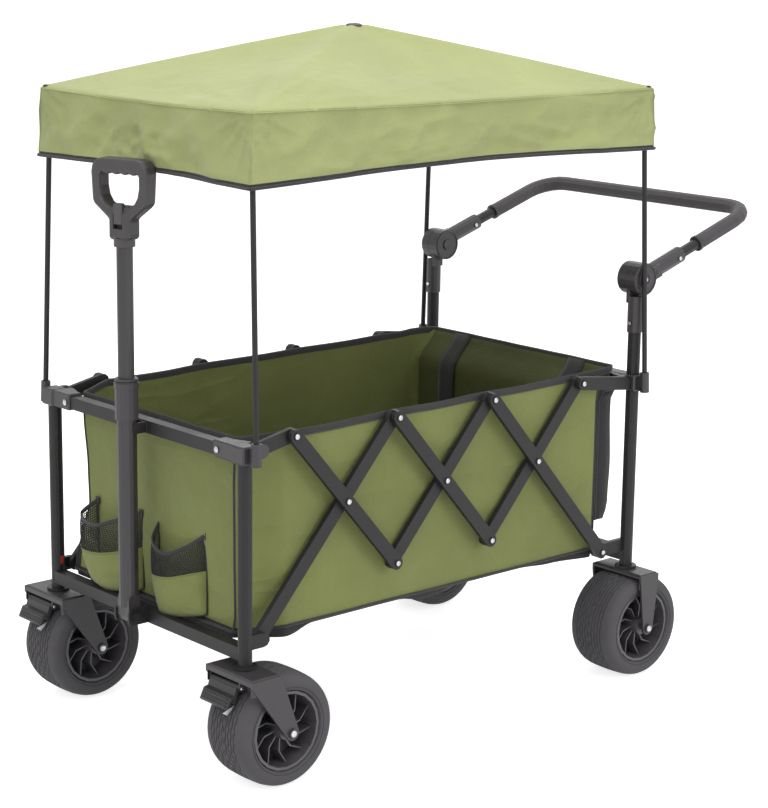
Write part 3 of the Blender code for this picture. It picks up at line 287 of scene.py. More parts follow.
def foam_skin(name, colour):
    """Closed-cell foam sleeve with a pebbled skin."""
    s = Shader(name)
    cells = s.node(
        "ShaderNodeTexVoronoi", {"Vector": s.coords.outputs["Object"], "Scale": 420.0}
    ).outputs["Distance"]
    base = s.mix(s.span(s.noise(60.0), 0.35, 0.7, 0, 1), scaled(colour, 0.92), scaled(colour, 1.08))
    return s.set(Base_Color=base, Roughness=0.78, Normal=s.bump(cells, 0.4, 0.0006), Sheen_Weight=0.12)


def zinc(name):
    """Zinc-plated steel with a brushed, faintly mottled face."""
    s = Shader(name)
    mottle = s.noise(160.0, 4.0, 0.6)
    base = s.mix(s.span(mottle, 0.3, 0.7, 0, 1), srgb(205, 205, 208), srgb(168, 168, 172))
    return s.set(
        Base_Color=base, Metallic=1.0, Roughness=s.span(mottle, 0.3, 0.7, 0.24, 0.42),
        Normal=s.bump(s.noise(600.0), 0.12, 0.0002),
    )


def netting(name, colour):
    """The cords of the pockets' nets."""
    s = Shader(name)
    base = s.mix(s.noise(500.0), scaled(colour, 0.7), scaled(colour, 1.4))
    return s.set(Base_Color=base, Roughness=0.8)


STEEL = powder_coat("frame_powder_coat", srgb(38, 36, 38))
DRAWN = drawn_tube("handle_tube_finish", srgb(60, 57, 60))
PLASTIC = moulded("black_moulded_plastic", srgb(56, 53, 56), 0.46)
FORK = moulded("fork_plastic", srgb(54, 51, 54), 0.44)
PEDAL = moulded("pedal_plastic", srgb(42, 41, 42), 0.40, 1.4)
GRIP = moulded("grip_plastic", srgb(63, 60, 62), 0.46)
BUTTON = moulded("button_plastic", srgb(74, 72, 74), 0.42)
RIM = moulded("rim_plastic", srgb(86, 83, 88), 0.36)
TYRE = rubber("tyre_rubber", srgb(80, 78, 81))
FOAM = foam_skin("foam_sleeve", srgb(68, 65, 68))
ZINC = zinc("zinc_steel")
ROOF = cloth("canopy_cloth", srgb(166, 173, 116), wear=0.7, sheen=0.2, crease=0.8, folds=0.6)
GREEN = cloth("bag_cloth", srgb(128, 135, 78), wear=1.0, sheen=0.2, folds=0.8)
# Painted shade: the bag's inner faces are the green cloth made darker, darkest on the back wall.
INNER_SHADE = cloth("bag_inner_painted_shade", srgb(112, 118, 66), wear=1.0, sheen=0.1, folds=0.6)
SHADE = cloth("bag_back_inner_painted_shade", srgb(82, 86, 48), wear=1.0, sheen=0.1, folds=0.6)
BLACK = cloth("black_lining", srgb(44, 43, 44), wear=0.6, sheen=0.15)
TAPE = webbing("black_binding_tape", srgb(40, 39, 40))
NET = netting("black_net", srgb(38, 38, 39))
RED = cloth("red_tab_cloth", srgb(176, 44, 40), sheen=0.1)

SLOTS = {
    "painted_steel": STEEL, "zinc_steel": ZINC, "black_plastic": PLASTIC, "fork_plastic": FORK,
    "pedal_plastic": PEDAL, "grip_plastic": GRIP, "button_plastic": BUTTON, "tyre_rubber": TYRE,
    "foam": FOAM, "canopy_cloth": ROOF, "bag_cloth": GREEN,
}


def dress_nodes():
    """Gives every CAD node its finish and takes the knife edge off the rigid ones."""
    kept = {p["node"]: p["material_slot"] for p in frame["record"]["subparts"]}
    for name, node in frame["nodes"].items():
        chosen = RIM if name.startswith("rim_") else SLOTS[kept[name]]
        if name in ("handle_outer_tube", "handle_inner_tube"):
            chosen = DRAWN
        if not node.material_slots:
            node.data.materials.append(chosen)
        for place in node.material_slots:
            place.material = chosen
        if name in ("bag", "canopy_roof") or name.startswith("tyre_"):
            continue
        weld = node.modifiers.new("weld", "WELD")
        weld.merge_threshold = 0.00002
        soften = node.modifiers.new("soften", "BEVEL")
        soften.width = 0.0020 if "fork" in name else 0.0007
        soften.segments = 2
        soften.limit_method = "ANGLE"
        soften.angle_limit = math.radians(38)
        soften.harden_normals = True


# Mesh helpers


def new_object(name, data, *materials):
    """An object of its own in the scene, with these finishes."""
    obj = bpy.data.objects.new(name, data)
    bpy.context.scene.collection.objects.link(obj)
    for material in materials:
        data.materials.append(material)
    return obj


def skin(name, rows, materials, closed=True, cap=False, pick=None, uvs=None, smooth=True):
    """A sheet through rows of points, its UV map in metres, each face's finish chosen by pick."""
    count = len(rows[0])
    points = [tuple(p) for row in rows for p in row]
    around = count if closed else count - 1
    faces, places = [], []
    for r in range(len(rows) - 1):
        for k in range(around):
            n = (k + 1) % count
            faces.append((r * count + k, r * count + n, (r + 1) * count + n, (r + 1) * count + k))
            places.append((r, k))
    if cap:
        faces.append(tuple((len(rows) - 1) * count + k for k in range(count)))
        places.append((len(rows) - 1, 0))
    mesh = bpy.data.meshes.new(name)
    mesh.from_pydata(points, [], faces)
    layer = mesh.uv_layers.new(name="metres")
    across = [0.0]
    middle = rows[len(rows) // 3]
    for k in range(around):
        across.append(across[-1] + (Vector(middle[(k + 1) % count]) - Vector(middle[k])).length)
    down = [0.0]
    for upper, lower in zip(rows, rows[1:]):
        down.append(down[-1] + (Vector(lower[0]) - Vector(upper[0])).length)
    for polygon, (r, k) in zip(mesh.polygons, places):
        if pick:
            polygon.material_index = pick(r, k)
        polygon.use_smooth = smooth
        for loop in polygon.loop_indices:
            vertex = mesh.loops[loop].vertex_index
            vr, vk = divmod(vertex, count)
            if uvs:
                layer.data[loop].uv = uvs(points[vertex], vr)
            else:
                layer.data[loop].uv = (across[around if vk < k else vk], down[vr])
    return edited(new_object(name, mesh, *materials))


def grid(levels, columns, at):
    """Rows of points at(s, t), where both shares run from 0 to 1."""
    return [[at(k / columns, r / levels) for k in range(columns + 1)] for r in range(levels + 1)]


def edited(obj, edit=None):
    """Makes one edit on an object's mesh and turns its faces outwards."""
    bm = bmesh.new()
    bm.from_mesh(obj.data)
    if edit:
        edit(bm)
    bmesh.ops.recalc_face_normals(bm, faces=bm.faces)
    bm.to_mesh(obj.data)
    bm.free()
    return obj


def from_bmesh(name, bm, material, smooth=True):
    mesh = bpy.data.meshes.new(name)
    bm.to_mesh(mesh)
    bm.free()
    for polygon in mesh.polygons:
        polygon.use_smooth = smooth
    return new_object(name, mesh, material)


def placed(obj, body):
    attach(obj, body)
    return obj


def as_mesh(obj):
    """An object's final form as a new mesh."""
    bpy.context.view_layer.update()
    graph = bpy.context.evaluated_depsgraph_get()
    return bpy.data.meshes.new_from_object(obj.evaluated_get(graph), depsgraph=graph)


def apply_modifiers(obj):
    mesh = as_mesh(obj)
    obj.modifiers.clear()
    obj.data = mesh
    return obj


def thicken(obj, thickness, offset=-1.0, even=True, other_side=0):
    """Gives a sheet its thickness; other_side moves the inner face on in the list of finishes."""
    solid = obj.modifiers.new("thickness", "SOLIDIFY")
    solid.thickness = thickness
    solid.offset = offset
    solid.use_even_offset = even
    solid.material_offset = other_side
    return apply_modifiers(obj)


def outward(obj, centre):
    """Turns an open sheet's faces away from a point."""
    total = 0.0
    for polygon in obj.data.polygons:
        total += polygon.normal.dot(polygon.center - Vector(centre)) * polygon.area
    if total < 0:
        obj.data.flip_normals()
    return obj


def tube(name, points, radius, material, cyclic=False, sides=3):
    """A round cord or piping along points, as a mesh."""
    curve = bpy.data.curves.new(name, "CURVE")
    curve.dimensions = "3D"
    curve.bevel_depth = radius
    curve.bevel_resolution = sides
    curve.use_fill_caps = True
    spline = curve.splines.new("POLY")
    spline.points.add(len(points) - 1)
    for point, at in zip(spline.points, points):
        point.co = (*at, 1)
    spline.use_cyclic_u = cyclic
    source = new_object(name, curve)
    mesh = as_mesh(source)
    bpy.data.objects.remove(source, do_unlink=True)
    for polygon in mesh.polygons:
        polygon.use_smooth = True
    mesh.materials.clear()
    return new_object(name, mesh, material)


def strip(name, points, across, width, thickness, material):
    """Flat webbing along points; across is the direction of its width."""
    across = Vector(across).normalized()
    rows = [[Vector(p) + across * width * s for s in (-0.5, -0.25, 0.0, 0.25, 0.5)] for p in points]
    band = skin(name, rows, [material], closed=False)
    return thicken(band, thickness, 0.0)


def domes(name, body, places):
    """Rivet heads: each place is (centre on the face, outward direction, radius, height)."""
    bm = bmesh.new()
    for centre, out, radius, height in places:
        ring = bmesh.ops.create_uvsphere(bm, u_segments=16, v_segments=10, radius=1)["verts"]
        turn = Vector(out).to_track_quat("Z", "Y").to_matrix().to_4x4()
        place = Matrix.Translation(centre) @ turn @ Matrix.Diagonal((radius, radius, height, 1))
        low = [v for v in ring if v.co.z < -0.2]
        bmesh.ops.delete(bm, geom=low, context="VERTS")
        bmesh.ops.transform(bm, matrix=place, verts=[v for v in ring if v.is_valid])
    placed(from_bmesh(name, bm, ZINC), body)


def shifted(point, seed):
    """Another place in the noise for each seed."""
    return point + Vector((seed, seed * 0.7, seed * 1.3))


def wobble(point, scale, seed):
    """Smooth noise between about -1 and 1."""
    return noise.noise(shifted(Vector(point) * scale, seed))


# Canopy


ACROSS, ALONG = 108, 166
HANGING_ROWS = 28


def roof_perimeter():
    """Points round the roof as shares of its half sizes, and how near each is to a side's middle."""
    points = []
    for k in range(ALONG):
        along = -1 + 2 * k / ALONG
        points.append((1, along, (1 - along * along) ** 1.5))
    for k in range(ACROSS):
        along = 1 - 2 * k / ACROSS
        points.append((along, 1, (1 - along * along) ** 1.5))
    return points + [(-x, -y, middle) for x, y, middle in points]


def bell(value, centre, half):
    """A smooth hump, 1 at its centre and 0 a half width away."""
    far = min(1.0, abs(value - centre) / half)
    return (1 - far * far) ** 2


def ridged(at, scale, seed):
    """Sharp-crested folds between 0 and 1."""
    warp = 0.35 * wobble(at, min(scale) * 1.3, seed + 4)
    point = Vector((at[0] * scale[0] + warp, at[1] * scale[1] + warp, at[2] * scale[2] - warp))
    return (1 - abs(noise.noise(shifted(point, seed)))) ** 5


def crumple(at, scale, warp, seed):
    """Facets with sharp ridges between them, as crumpled cloth has, between about -0.5 and 0.5."""
    drift = warp * noise.noise_vector(Vector(at) * scale * 0.55 + Vector((seed, 0, seed)))
    return noise.voronoi(shifted((Vector(at) + drift) * scale, seed))[0][0] - 0.5


def valance_push(at, x, y, middle):
    """How far the hanging cloth stands out: long slack waves, crumples and corner creases."""
    low = (EDGE_Z - at.z) / VALANCE
    hang = min(1.0, low * 2.5) * min(1.0, middle * 3.0)
    push = 0.0050 * hang * wobble((at.x, at.y, at.z * 0.30), 7.0, 3.1)
    lie = Vector((at.x, at.y, at.z * 1.3))
    push += 0.0190 * hang * crumple(lie, 8.0, 0.05, 2.7) + 0.0095 * hang * crumple(lie, 21.0, 0.02, 5.1)
    if abs(y) == 1:
        lean = Vector((at.x - (at.z - 0.95) * 0.9 * y, 0, at.z))
        push += 0.0016 * hang * (ridged(lean, (13, 0, 5), 2.2) - 0.4)
        crush = bell(at.x, -0.01, 0.20) * bell(at.z, 0.922, 0.058)
        push += crush * (0.0240 * crumple(at, 25.0, 0.015, 6.1) + 0.0100 * crumple(at, 50.0, 0.006, 1.4))
    else:
        lean = Vector((0, at.y + (at.z - 0.95) * 2.2, at.z))
        push += 0.0050 * hang * (ridged(lean, (0, 4.5, 13), 5.2) - 0.4)
        push += 0.0034 * hang * (ridged(Vector((0, at.y - at.z * 1.4, at.z)), (0, 8, 16), 9.6) - 0.4)
    corner = math.exp(-(((1 - min(abs(x), abs(y))) / 0.16) ** 2)) * min(1.0, low * 6)
    push += 0.0022 * corner * (ridged((at.x * 1.2 + at.y, at.x - at.y, at.z), (12, 12, 26), 7.3) - 0.5)
    return push + gathers(at, x > 0 and y < 0 or x * y > 0, EDGE_Z - at.z)


def gathers(at, drawn, drop):
    """Creases that run out from a corner, strong where the cloth is drawn together."""
    aside = (ROOF_X - abs(at.x)) + (ROOF_Y - abs(at.y))
    reach = math.hypot(aside, drop)
    turn = math.atan2(drop, aside)
    fade = bell(reach, 0.045, 0.060) * (1.0 if drawn else 0.35)
    return 0.0048 * fade * (ridged((turn, reach * 3, at.x + at.y), (3.4, 1.0, 0.5), 1.7) - 0.45)


def hem_lift(along, middle, across):
    """The valance is cut higher in the middle of each side and towards the back."""
    return 0.001 + 0.0042 * (1 + along) + (0.0090 if abs(across) == 1 else 0.004) * middle


def roof_row(scale, z, drop=0.0, grow=0.0, pull=0.0, rough=0.0, lift=0.0, hang=0.0):
    """One ring of the canopy: drop and pull sag it in the middle of its sides, rough and lift crease it."""
    row = []
    for x, y, middle in roof_perimeter():
        half_x = ROOF_X * scale + grow - (pull * middle if abs(x) == 1 else 0)
        half_y = ROOF_Y * scale + grow - (pull * middle if abs(y) == 1 else 0)
        at = Vector((x * half_x, y * half_y, z - drop * middle + hang * hem_lift(y, middle, x)))
        if rough:
            push = rough * valance_push(at, x, y, middle)
            if abs(x) == 1:
                at.x += x * push
            if abs(y) == 1:
                at.y += y * push
        if lift:
            at.z += lift * middle * wobble((at.x, at.y, 0), 9.0, 5.5)
            at.z += lift * 0.5 * middle * scale * (ridged((at.x, at.y, 0), (8, 8, 0), 2.5) - 0.35)
            at.z += 0.0022 * 4 * scale * (1 - scale) * (1 - middle)
            fan = Vector((ROOF_X - at.x, at.y + ROOF_Y, 0))
            swirl = math.atan2(fan.x, fan.y)
            folds = ridged((swirl, fan.length, 0), (4.0, 1.2, 0), 8.8) - 0.4
            at.z += 0.0040 * bell(fan.length, 0.17, 0.17) * folds
        row.append(at)
    return row


def make_canopy():
    low = EDGE_Z - VALANCE
    rows = []
    levels = [0.0, 0.055] + [0.055 + 0.945 * k / (HANGING_ROWS - 1) for k in range(1, HANGING_ROWS - 1)]
    for share in levels:
        out = 1 - share
        rough = min(1.0, 8 * share) * 0.75 + 0.25
        rows.append(
            roof_row(1, low + share * VALANCE, 0, 0.004 * out, 0.003 + 0.003 * out, rough, 0, out)
        )
    rows.append(roof_row(1.0, EDGE_Z - 0.0025, 0.0036, 0.0002, 0.003, 0.05))
    rows.append(roof_row(0.998, EDGE_Z - 0.0004, 0.0040, 0, 0.003))
    for step in range(1, 40):
        scale = 0.997 - 0.957 * step / 39
        z = PEAK_Z - (PEAK_Z - EDGE_Z) * scale
        sag = 0.008 * 4 * scale * (1 - scale) + 0.004 * scale
        rows.append(roof_row(scale, z, sag, 0, 0, 0, 0.0046 * min(1, 5 * (1 - scale)) * scale))
    roof = skin(
        "canopy_cloth_roof", rows, [ROOF, TAPE], cap=True, pick=lambda r, k: 1 if r == 0 else 0,
        uvs=lambda p, r: (p[0] + p[2], p[1]) if r > HANGING_ROWS else (p[0] + p[1], p[2]),
    )
    outward(roof, (0, 0, 0.95))
    thicken(roof, 0.0012, even=False)
    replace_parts(placed(roof, "rear_frame"), "canopy_roof")
    pieces = canopy_trim(low, rows)
    for piece in [roof, *pieces, canopy_rods()]:
        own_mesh(piece)


def joined(name, parts, material):
    """One mesh made of several."""
    bm = bmesh.new()
    for part in parts:
        bm.from_mesh(part.data)
        bpy.data.objects.remove(part)
    return from_bmesh(name, bm, material)


def canopy_rods():
    """The four rods under the hips with their hub, and a cap on the top of each pole."""
    cloth_gap, radius = 0.0030, 0.0035
    rise = (ROD_PEAK_Z - EDGE_Z) / math.hypot(ROOF_X, ROOF_Y)
    peak = ROD_PEAK_Z - (cloth_gap + radius) * math.hypot(1, rise)
    flat_top = ROD_PEAK_Z - (ROD_PEAK_Z - EDGE_Z) * 0.06 - 0.0024
    hub = [(0, 0, flat_top - down) for down in (0.010, 0.0090, 0.0045, 0.0035)]
    parts = [tube("canopy_hub", hub, 0.0175, ZINC, sides=5)]
    for word, side in SIDES:
        for place, end in (("front", -1), ("rear", 1)):
            foot, top = (Vector((side * x, end * y, z)) for x, y, z in (POLE_FOOT, POLE_TOP))
            along = (top - foot).normalized()
            corner = Vector((top.x, top.y, peak - rise * math.hypot(top.x, top.y)))
            inner = Vector((top.x * 0.02, top.y * 0.02, flat_top - 0.0075))
            rod = [corner.lerp(inner, k / 6) for k in range(7)]
            parts.append(tube("canopy_rod", rod, radius, ZINC, sides=3))
            tip = top + along * (corner.z - top.z + 0.003)
            line = [tip - along * step for step in (0.034, 0.033, 0.002, 0.0)]
            cap = tube(f"pole_cap_{place}_{word}", line, 0.0057, PLASTIC, sides=4)
            placed(cap, f"{place}_frame")
    rods = placed(joined("canopy_rods", parts, ZINC), "rear_frame")
    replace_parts(rods, "canopy_frame")
    return rods


def canopy_trim(low, rows):
    """The hem tape, the seams and the small dark end tabs sewn on the roof."""
    pieces = []
    hem = roof_row(1, low, 0, 0.0045, 0.006, 0.25, 0, 1)
    pieces.append(tube("canopy_hem_piping", hem, 0.0027, TAPE, cyclic=True, sides=2))
    seam = roof_row(1.0, EDGE_Z - 0.0030, 0.0038, 0.0006, 0.003, 0.05)
    pieces.append(tube("canopy_edge_seam", seam, 0.0010, ROOF, cyclic=True, sides=2))
    for number, (x, y) in enumerate(((1, 1), (-1, 1), (-1, -1), (1, -1))):
        line = []
        for k in range(40):
            scale = 0.99 - 0.93 * k / 39
            z = PEAK_Z - (PEAK_Z - EDGE_Z) * scale - 0.0002
            line.append(Vector((x * ROOF_X * scale, y * ROOF_Y * scale, z)))
        pieces.append(tube(f"canopy_hip_seam_{number}", line, 0.0007, ROOF, sides=2))
        corner = {(1, 1): ALONG, (-1, 1): ALONG + ACROSS, (-1, -1): 2 * ALONG + ACROSS, (1, -1): 0}[(x, y)]
        fold = [row[corner] for row in rows[1:HANGING_ROWS + 1]]
        pieces.append(tube(f"canopy_corner_seam_{number}", fold, 0.0008, ROOF, sides=2))
        if (x, y) == (1, -1):
            continue
        bm = bmesh.new()
        bmesh.ops.create_cube(bm, size=1)
        bmesh.ops.bevel(bm, geom=bm.edges[:], offset=0.18, segments=3, affect="EDGES")
        bmesh.ops.scale(bm, vec=(0.014, 0.008, 0.0026), verts=bm.verts)
        tab = from_bmesh(f"canopy_corner_tab_{number}", bm, TAPE, smooth=False)
        tab.data.transform(
            Matrix.Translation((x * (ROOF_X - 0.0055), y * (ROOF_Y - 0.0055), EDGE_Z + 0.0012))
            @ Matrix.Rotation(math.atan2(y, x) + math.pi / 2, 4, "Z")
        )
        pieces.append(tab)
    bm = bmesh.new()
    bmesh.ops.create_uvsphere(bm, u_segments=24, v_segments=12, radius=1)
    bmesh.ops.scale(bm, vec=(0.0135, 0.0135, 0.0040), verts=bm.verts)
    bmesh.ops.translate(bm, vec=(0, 0, PEAK_Z - 0.0045), verts=bm.verts)
    pieces.append(from_bmesh("canopy_peak_cap", bm, BUTTON))
    return [placed(piece, "rear_frame") for piece in pieces]


# Bag


BAG_STEP = 0.0075


def bag_outline(inset=0.0):
    """Points round the bag's plan with the outward direction at each, and which part it is."""
    half, front, back = BAG_X - inset, BAG_FRONT + inset, BAG_BACK - inset
    size = half / BAG_X
    face = FACE_X * size
    shoulder = front + (SHOULDER_Y - BAG_FRONT) * size
    wide, rear, tight = 0.030 * size, 0.014 * size, 0.004 * size
    corners = (
        (face, front, tight, "seam"), (half, shoulder, wide, "shoulder"), (half, back, rear, "corner"),
        (-half, back, rear, "corner"), (-half, shoulder, wide, "shoulder"), (-face, front, tight, "seam"),
    )
    runs = ("slant", "right", "back", "left", "slant", "front")
    arcs = []
    for k, (x, y, radius, kind) in enumerate(corners):
        here = Vector((x, y))
        before = (Vector(corners[k - 1][:2]) - here).normalized()
        after = (Vector(corners[(k + 1) % 6][:2]) - here).normalized()
        angle = before.angle(after) / 2
        centre = here + (before + after).normalized() * radius / math.sin(angle)
        start = here + before * radius / math.tan(angle) - centre
        sweep = start.angle_signed(here + after * radius / math.tan(angle) - centre)
        parts = 8 if kind == "corner" else 5
        arc = []
        for step_no in range(parts + 1):
            out = (Matrix.Rotation(-sweep * step_no / parts, 2) @ start).normalized()
            arc.append((centre + out * radius, out, kind, step_no / parts))
        arcs.append(arc)
    points = []
    for k, arc in enumerate(arcs):
        points += [(Vector((*at, 0)), Vector((*out, 0)), kind, share) for at, out, kind, share in arc]
        here, end = arc[-1][0], arcs[(k + 1) % 6][0][0]
        out = Vector((*arc[-1][1], 0))
        long_side = BAG_BACK - SHOULDER_Y
        reach = {"slant": 0.066, "right": long_side, "left": long_side}.get(runs[k], 2 * FACE_X)
        parts = round(reach / BAG_STEP)
        for number in range(1, parts):
            at = here.lerp(end, number / parts)
            points.append((Vector((*at, 0)), out, runs[k], number / parts))
    return points


def side_push(at, side, share, z):
    """How far the cloth stands out from its plan line at a height."""
    height = min(1, max(0, (z - SEAM_Z) / (RIM_Z - SEAM_Z)))
    belly = math.sin(math.pi * height) ** 0.8
    middle = math.sin(math.pi * share) ** 0.6 if side in ("left", "right", "front", "back") else 0.0
    soft = wobble((at.x * 0.6, at.y, z), 8.0, 2.2) * 0.0050 + wobble((at.x, at.y, z), 21.0, 7.7) * 0.0016
    if side in ("left", "right", "front", "slant"):
        soft += 0.0028 * (ridged((at.x, at.y + (z - 0.4) * 0.8, z), (6, 6, 5), 3.7) - 0.35)
    droop = 0.0
    if side in ("left", "right"):
        droop = abs(math.sin(math.pi * (at.y - TOP[0][0]) / PITCH)) ** 2 * 0.0020 * (1 - height)
    return middle * (0.0022 * belly + soft * belly + droop) + (0.0008 * belly if side == "corner" else 0)


def table(value, stops):
    """Smooth steps between (place, value) stops."""
    if value <= stops[0][0]:
        return stops[0][1]
    for (a, low), (b, high) in zip(stops, stops[1:]):
        if value <= b:
            t = (value - a) / (b - a)
            return low + (high - low) * t * t * (3 - 2 * t)
    return stops[-1][1]


def face_edge(z, side):
    """Half the width of the front face: its corners are drawn in at half height."""
    if side < 0:
        return table(z, (
            (0.21, 0.233), (0.25, 0.226), (0.285, 0.212), (0.345, 0.1875), (0.40, 0.190), (0.49, 0.200),
            (0.53, 0.203),
        ))
    return table(z, ((0.21, 0.191), (0.25, 0.198), (0.34, 0.1965), (0.45, 0.1955), (0.53, 0.199)))


def rim_height(at, side):
    """The rim hangs a little between its ties to the lattice's upper pivots and the rails."""
    top = table(at.y, ((-0.391, 0.5240), (-0.320, 0.5300), (0.0, 0.5340), (0.30, 0.5365), (0.353, 0.5385)))
    if side in ("left", "right"):
        wave = math.cos(2 * math.pi * (at.y - TOP[0][0]) / PITCH)
        return top - 0.0007 * (1 - wave) + 0.0008 * wobble((at.x, at.y, 0), 12.0, 4.0)
    if side in ("front", "back"):
        return top + 0.0010 * wobble((at.x, at.y, 0), 14.0, 6.0)
    return top


def lean(height):
    """How far the back leans out over the pouch towards the rear rail."""
    return table(height, ((0.480, 0.0), (0.5385, 0.0415)))


def frontness(at):
    """0 behind the front corners and 1 at the front face."""
    return min(1.0, max(0.0, (SHOULDER_Y - at.y) / (SHOULDER_Y - BAG_FRONT)))


def bag_row(z, inset=0.0, follow=1.0, grow=0.0):
    """One ring of the bag; follow is how much of the cloth's bulge it takes."""
    row = []
    outline = bag_outline(0.0)
    inner = bag_outline(inset) if inset else outline
    for (at, out, side, share), (inside, *_) in zip(outline, inner):
        top = rim_height(at, side)
        base = SEAM_Z - 0.0065 * frontness(at)
        height = base + (z - SEAM_Z) * (top - base) / (RIM_Z - SEAM_Z) if z >= SEAM_Z else z
        place = inside + out * (side_push(at, side, share, z) * follow + grow)
        place.y += max(0.0, out.y) * lean(height)
        near = frontness(place)
        if near:
            width = face_edge(height, 1 if place.x > 0 else -1) / FACE_X
            place.x *= 1 + (width - 1) * near
        row.append(Vector((place.x, place.y, height)))
    return row


def belly_z(point, inset):
    """How low the black floor cloth hangs below the seam at the bag's outer edge."""
    if abs(point.x) > 0.19 - inset:
        return table(point.y, (
            (-0.385, 0.2105), (-0.318, 0.2090), (-0.268, 0.2232), (-0.095, 0.2240), (-0.042, 0.2135),
            (-0.006, 0.2155), (0.022, 0.2240), (0.170, 0.2245), (0.245, 0.2185), (0.353, 0.2105),
        ))
    return 0.2045


def underside(z, inset, depth, edge=0.0):
    """A row of the floor: bellies that hang at its outer edge and between its boards."""
    row = []
    for point in bag_row(z, inset, 0.0):
        belly = max(math.exp(-(((point.y - y) / 0.075) ** 2)) for y in (-0.285, 0.0, 0.270))
        level = point.z - depth * belly
        row.append(Vector((point.x, point.y, level + (belly_z(point, inset) - level) * edge)))
    return row


def make_bag():
    rows = [bag_row(RIM_Z - (RIM_Z - SEAM_Z) * k / 22) for k in range(23)]
    seam_row = len(rows) - 1
    rows += [
        underside(*row) for row in (
            (0.224, 0.0005, 0.0, 0.45), (0.220, 0.0012, 0.0, 0.85), (0.217, 0.0045, 0.0, 1.0),
            (0.213, 0.012, 0.002, 0.8), (0.209, 0.026, 0.004, 0.72), (0.2065, 0.050, 0.0045, 0.48),
            (0.206, 0.090, 0.0045, 0.12), (0.206, 0.150, 0.0045), (0.206, 0.215, 0.0040),
        )
    ]
    outline = bag_outline()

    # Each face's outer finish: 0 green, 1 black, 2 black at the rear corners, 3 green on the back; the
    # inner faces of 0, 2 and 3 are painted shade, darkest on the back wall.
    def finish(r, k):
        at, _, side, share = outline[k]
        if r >= seam_row or (r > seam_row - 4 and at.x < -0.19 and side in ("seam", "slant")):
            return 1
        if side == "corner" and 0.1 < (share if at.x > 0 else 0.9 - share):
            return 2
        return 3 if side == "back" else 0

    shell = skin(
        "bag_shell", rows, [GREEN, BLACK, BLACK, GREEN, INNER_SHADE, BLACK, INNER_SHADE, SHADE], cap=True, pick=finish
    )
    outward(shell, (0, 0, 0.40))
    thicken(shell, 0.0016, other_side=4)
    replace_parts(placed(shell, "rear_frame"), "bag")
    trim = bag_trim() + bag_pockets() + bag_pouch() + bag_straps() + bag_base()
    for piece in [shell, *trim]:
        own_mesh(piece)


def ready(*pieces):
    return [placed(piece, "rear_frame") for piece in pieces]


def bag_trim():
    """Black tape over the rim and piping round the lower seam and up the corners."""
    rows = [
        bag_row(RIM_Z + up, grow=grow) for up, grow in (
            (-0.0105, 0.0007), (-0.0055, 0.0014), (-0.001, 0.0012), (0.0013, -0.0006),
            (-0.001, -0.0028), (-0.0055, -0.0030), (-0.0105, -0.0023),
        )
    ]
    rim = skin("bag_rim_tape", rows, [TAPE])
    piping = tube("bag_lower_piping", bag_row(SEAM_Z, grow=0.0012), 0.0024, TAPE, cyclic=True)
    stitches = bag_row(RIM_Z - 0.0090, grow=0.0014)
    line = tube("bag_rim_stitch", stitches, 0.0005, BUTTON, cyclic=True, sides=1)
    outline = bag_outline()
    levels = [bag_row(SEAM_Z + (RIM_Z - 0.010 - SEAM_Z) * k / 24, grow=0.0008) for k in range(25)]
    pieces = [rim, piping, line]
    for number, k in enumerate(
        k for k, place in enumerate(outline)
        if (place[2] == "seam" and place[3] == 0.4) or (place[2] == "corner" and place[3] == 0.5)
    ):
        pieces.append(tube(f"bag_corner_piping_{number}", [row[k] for row in levels], 0.0019, TAPE))
    return ready(*pieces)


def curve_at(stops, s):
    """A smooth curve through (x, height, depth) stops at a share of its length."""
    last = len(stops) - 1
    place = min(max(s * last, 0.0), last - 1e-6)
    k = int(place)
    t = place - k
    p = [Vector(stops[min(max(k + i, 0), last)]) for i in (-1, 0, 1, 2)]
    return 0.5 * (
        2 * p[1] + (p[2] - p[0]) * t + (2 * p[0] - 5 * p[1] + 4 * p[2] - p[3]) * t * t
        + (3 * p[1] - p[0] - 3 * p[2] + p[3]) * t ** 3
    )


# Each pocket's lines from its left to its right end, as (across, height, depth)
RIGHT_POCKET = {
    "base": (
        (0.008, 0.229, 0.0), (0.026, 0.2195, 0.019), (0.070, 0.222, 0.017), (0.112, 0.231, 0.007),
        (0.121, 0.234, 0.0),
    ),
    "lip": (
        (0.000, 0.286, 0.0), (0.015, 0.278, 0.025), (0.060, 0.283, 0.027), (0.108, 0.298, 0.012),
        (0.121, 0.302, 0.0),
    ),
    "elastic": (
        (0.000, 0.353, 0.0), (0.014, 0.331, 0.024), (0.046, 0.317, 0.026), (0.086, 0.334, 0.013),
        (0.117, 0.357, 0.0),
    ),
}
LEFT_POCKET = {
    "base": (
        (0.000, 0.228, 0.0), (0.008, 0.2300, 0.022), (0.050, 0.2200, 0.020), (0.108, 0.230, 0.008),
        (0.121, 0.234, 0.0),
    ),
    "lip": (
        (-0.004, 0.284, 0.0), (-0.017, 0.274, 0.023), (0.040, 0.279, 0.028), (0.106, 0.296, 0.012),
        (0.121, 0.302, 0.0),
    ),
    "elastic": (
        (-0.004, 0.353, 0.0), (-0.021, 0.329, 0.021), (0.022, 0.321, 0.026), (0.062, 0.334, 0.016),
        (0.117, 0.357, 0.0),
    ),
}


def pocket_point(line, start, s):
    """A point on a line of the pocket that starts at this x, at a share of the line's length."""
    stops = RIGHT_POCKET if start > 0 else LEFT_POCKET
    x, z, depth = curve_at(stops[line], s)
    return Vector((start + x, BAG_FRONT - 0.0030 - max(0.0, depth), z))


def pocket_sheet(name, start, lines, material, columns, levels):
    """The cloth between two lines of a pocket."""
    def at(s, t):
        point = pocket_point(lines[0], start, s).lerp(pocket_point(lines[1], start, s), t)
        bulge = math.sin(math.pi * s) * math.sin(math.pi * t)
        point.y -= 0.0030 * bulge + 0.0012 * bulge * wobble((s * 3, t * 2, start), 2.4, 1.1)
        return point

    return skin(name, grid(levels, columns, at), [material], closed=False)


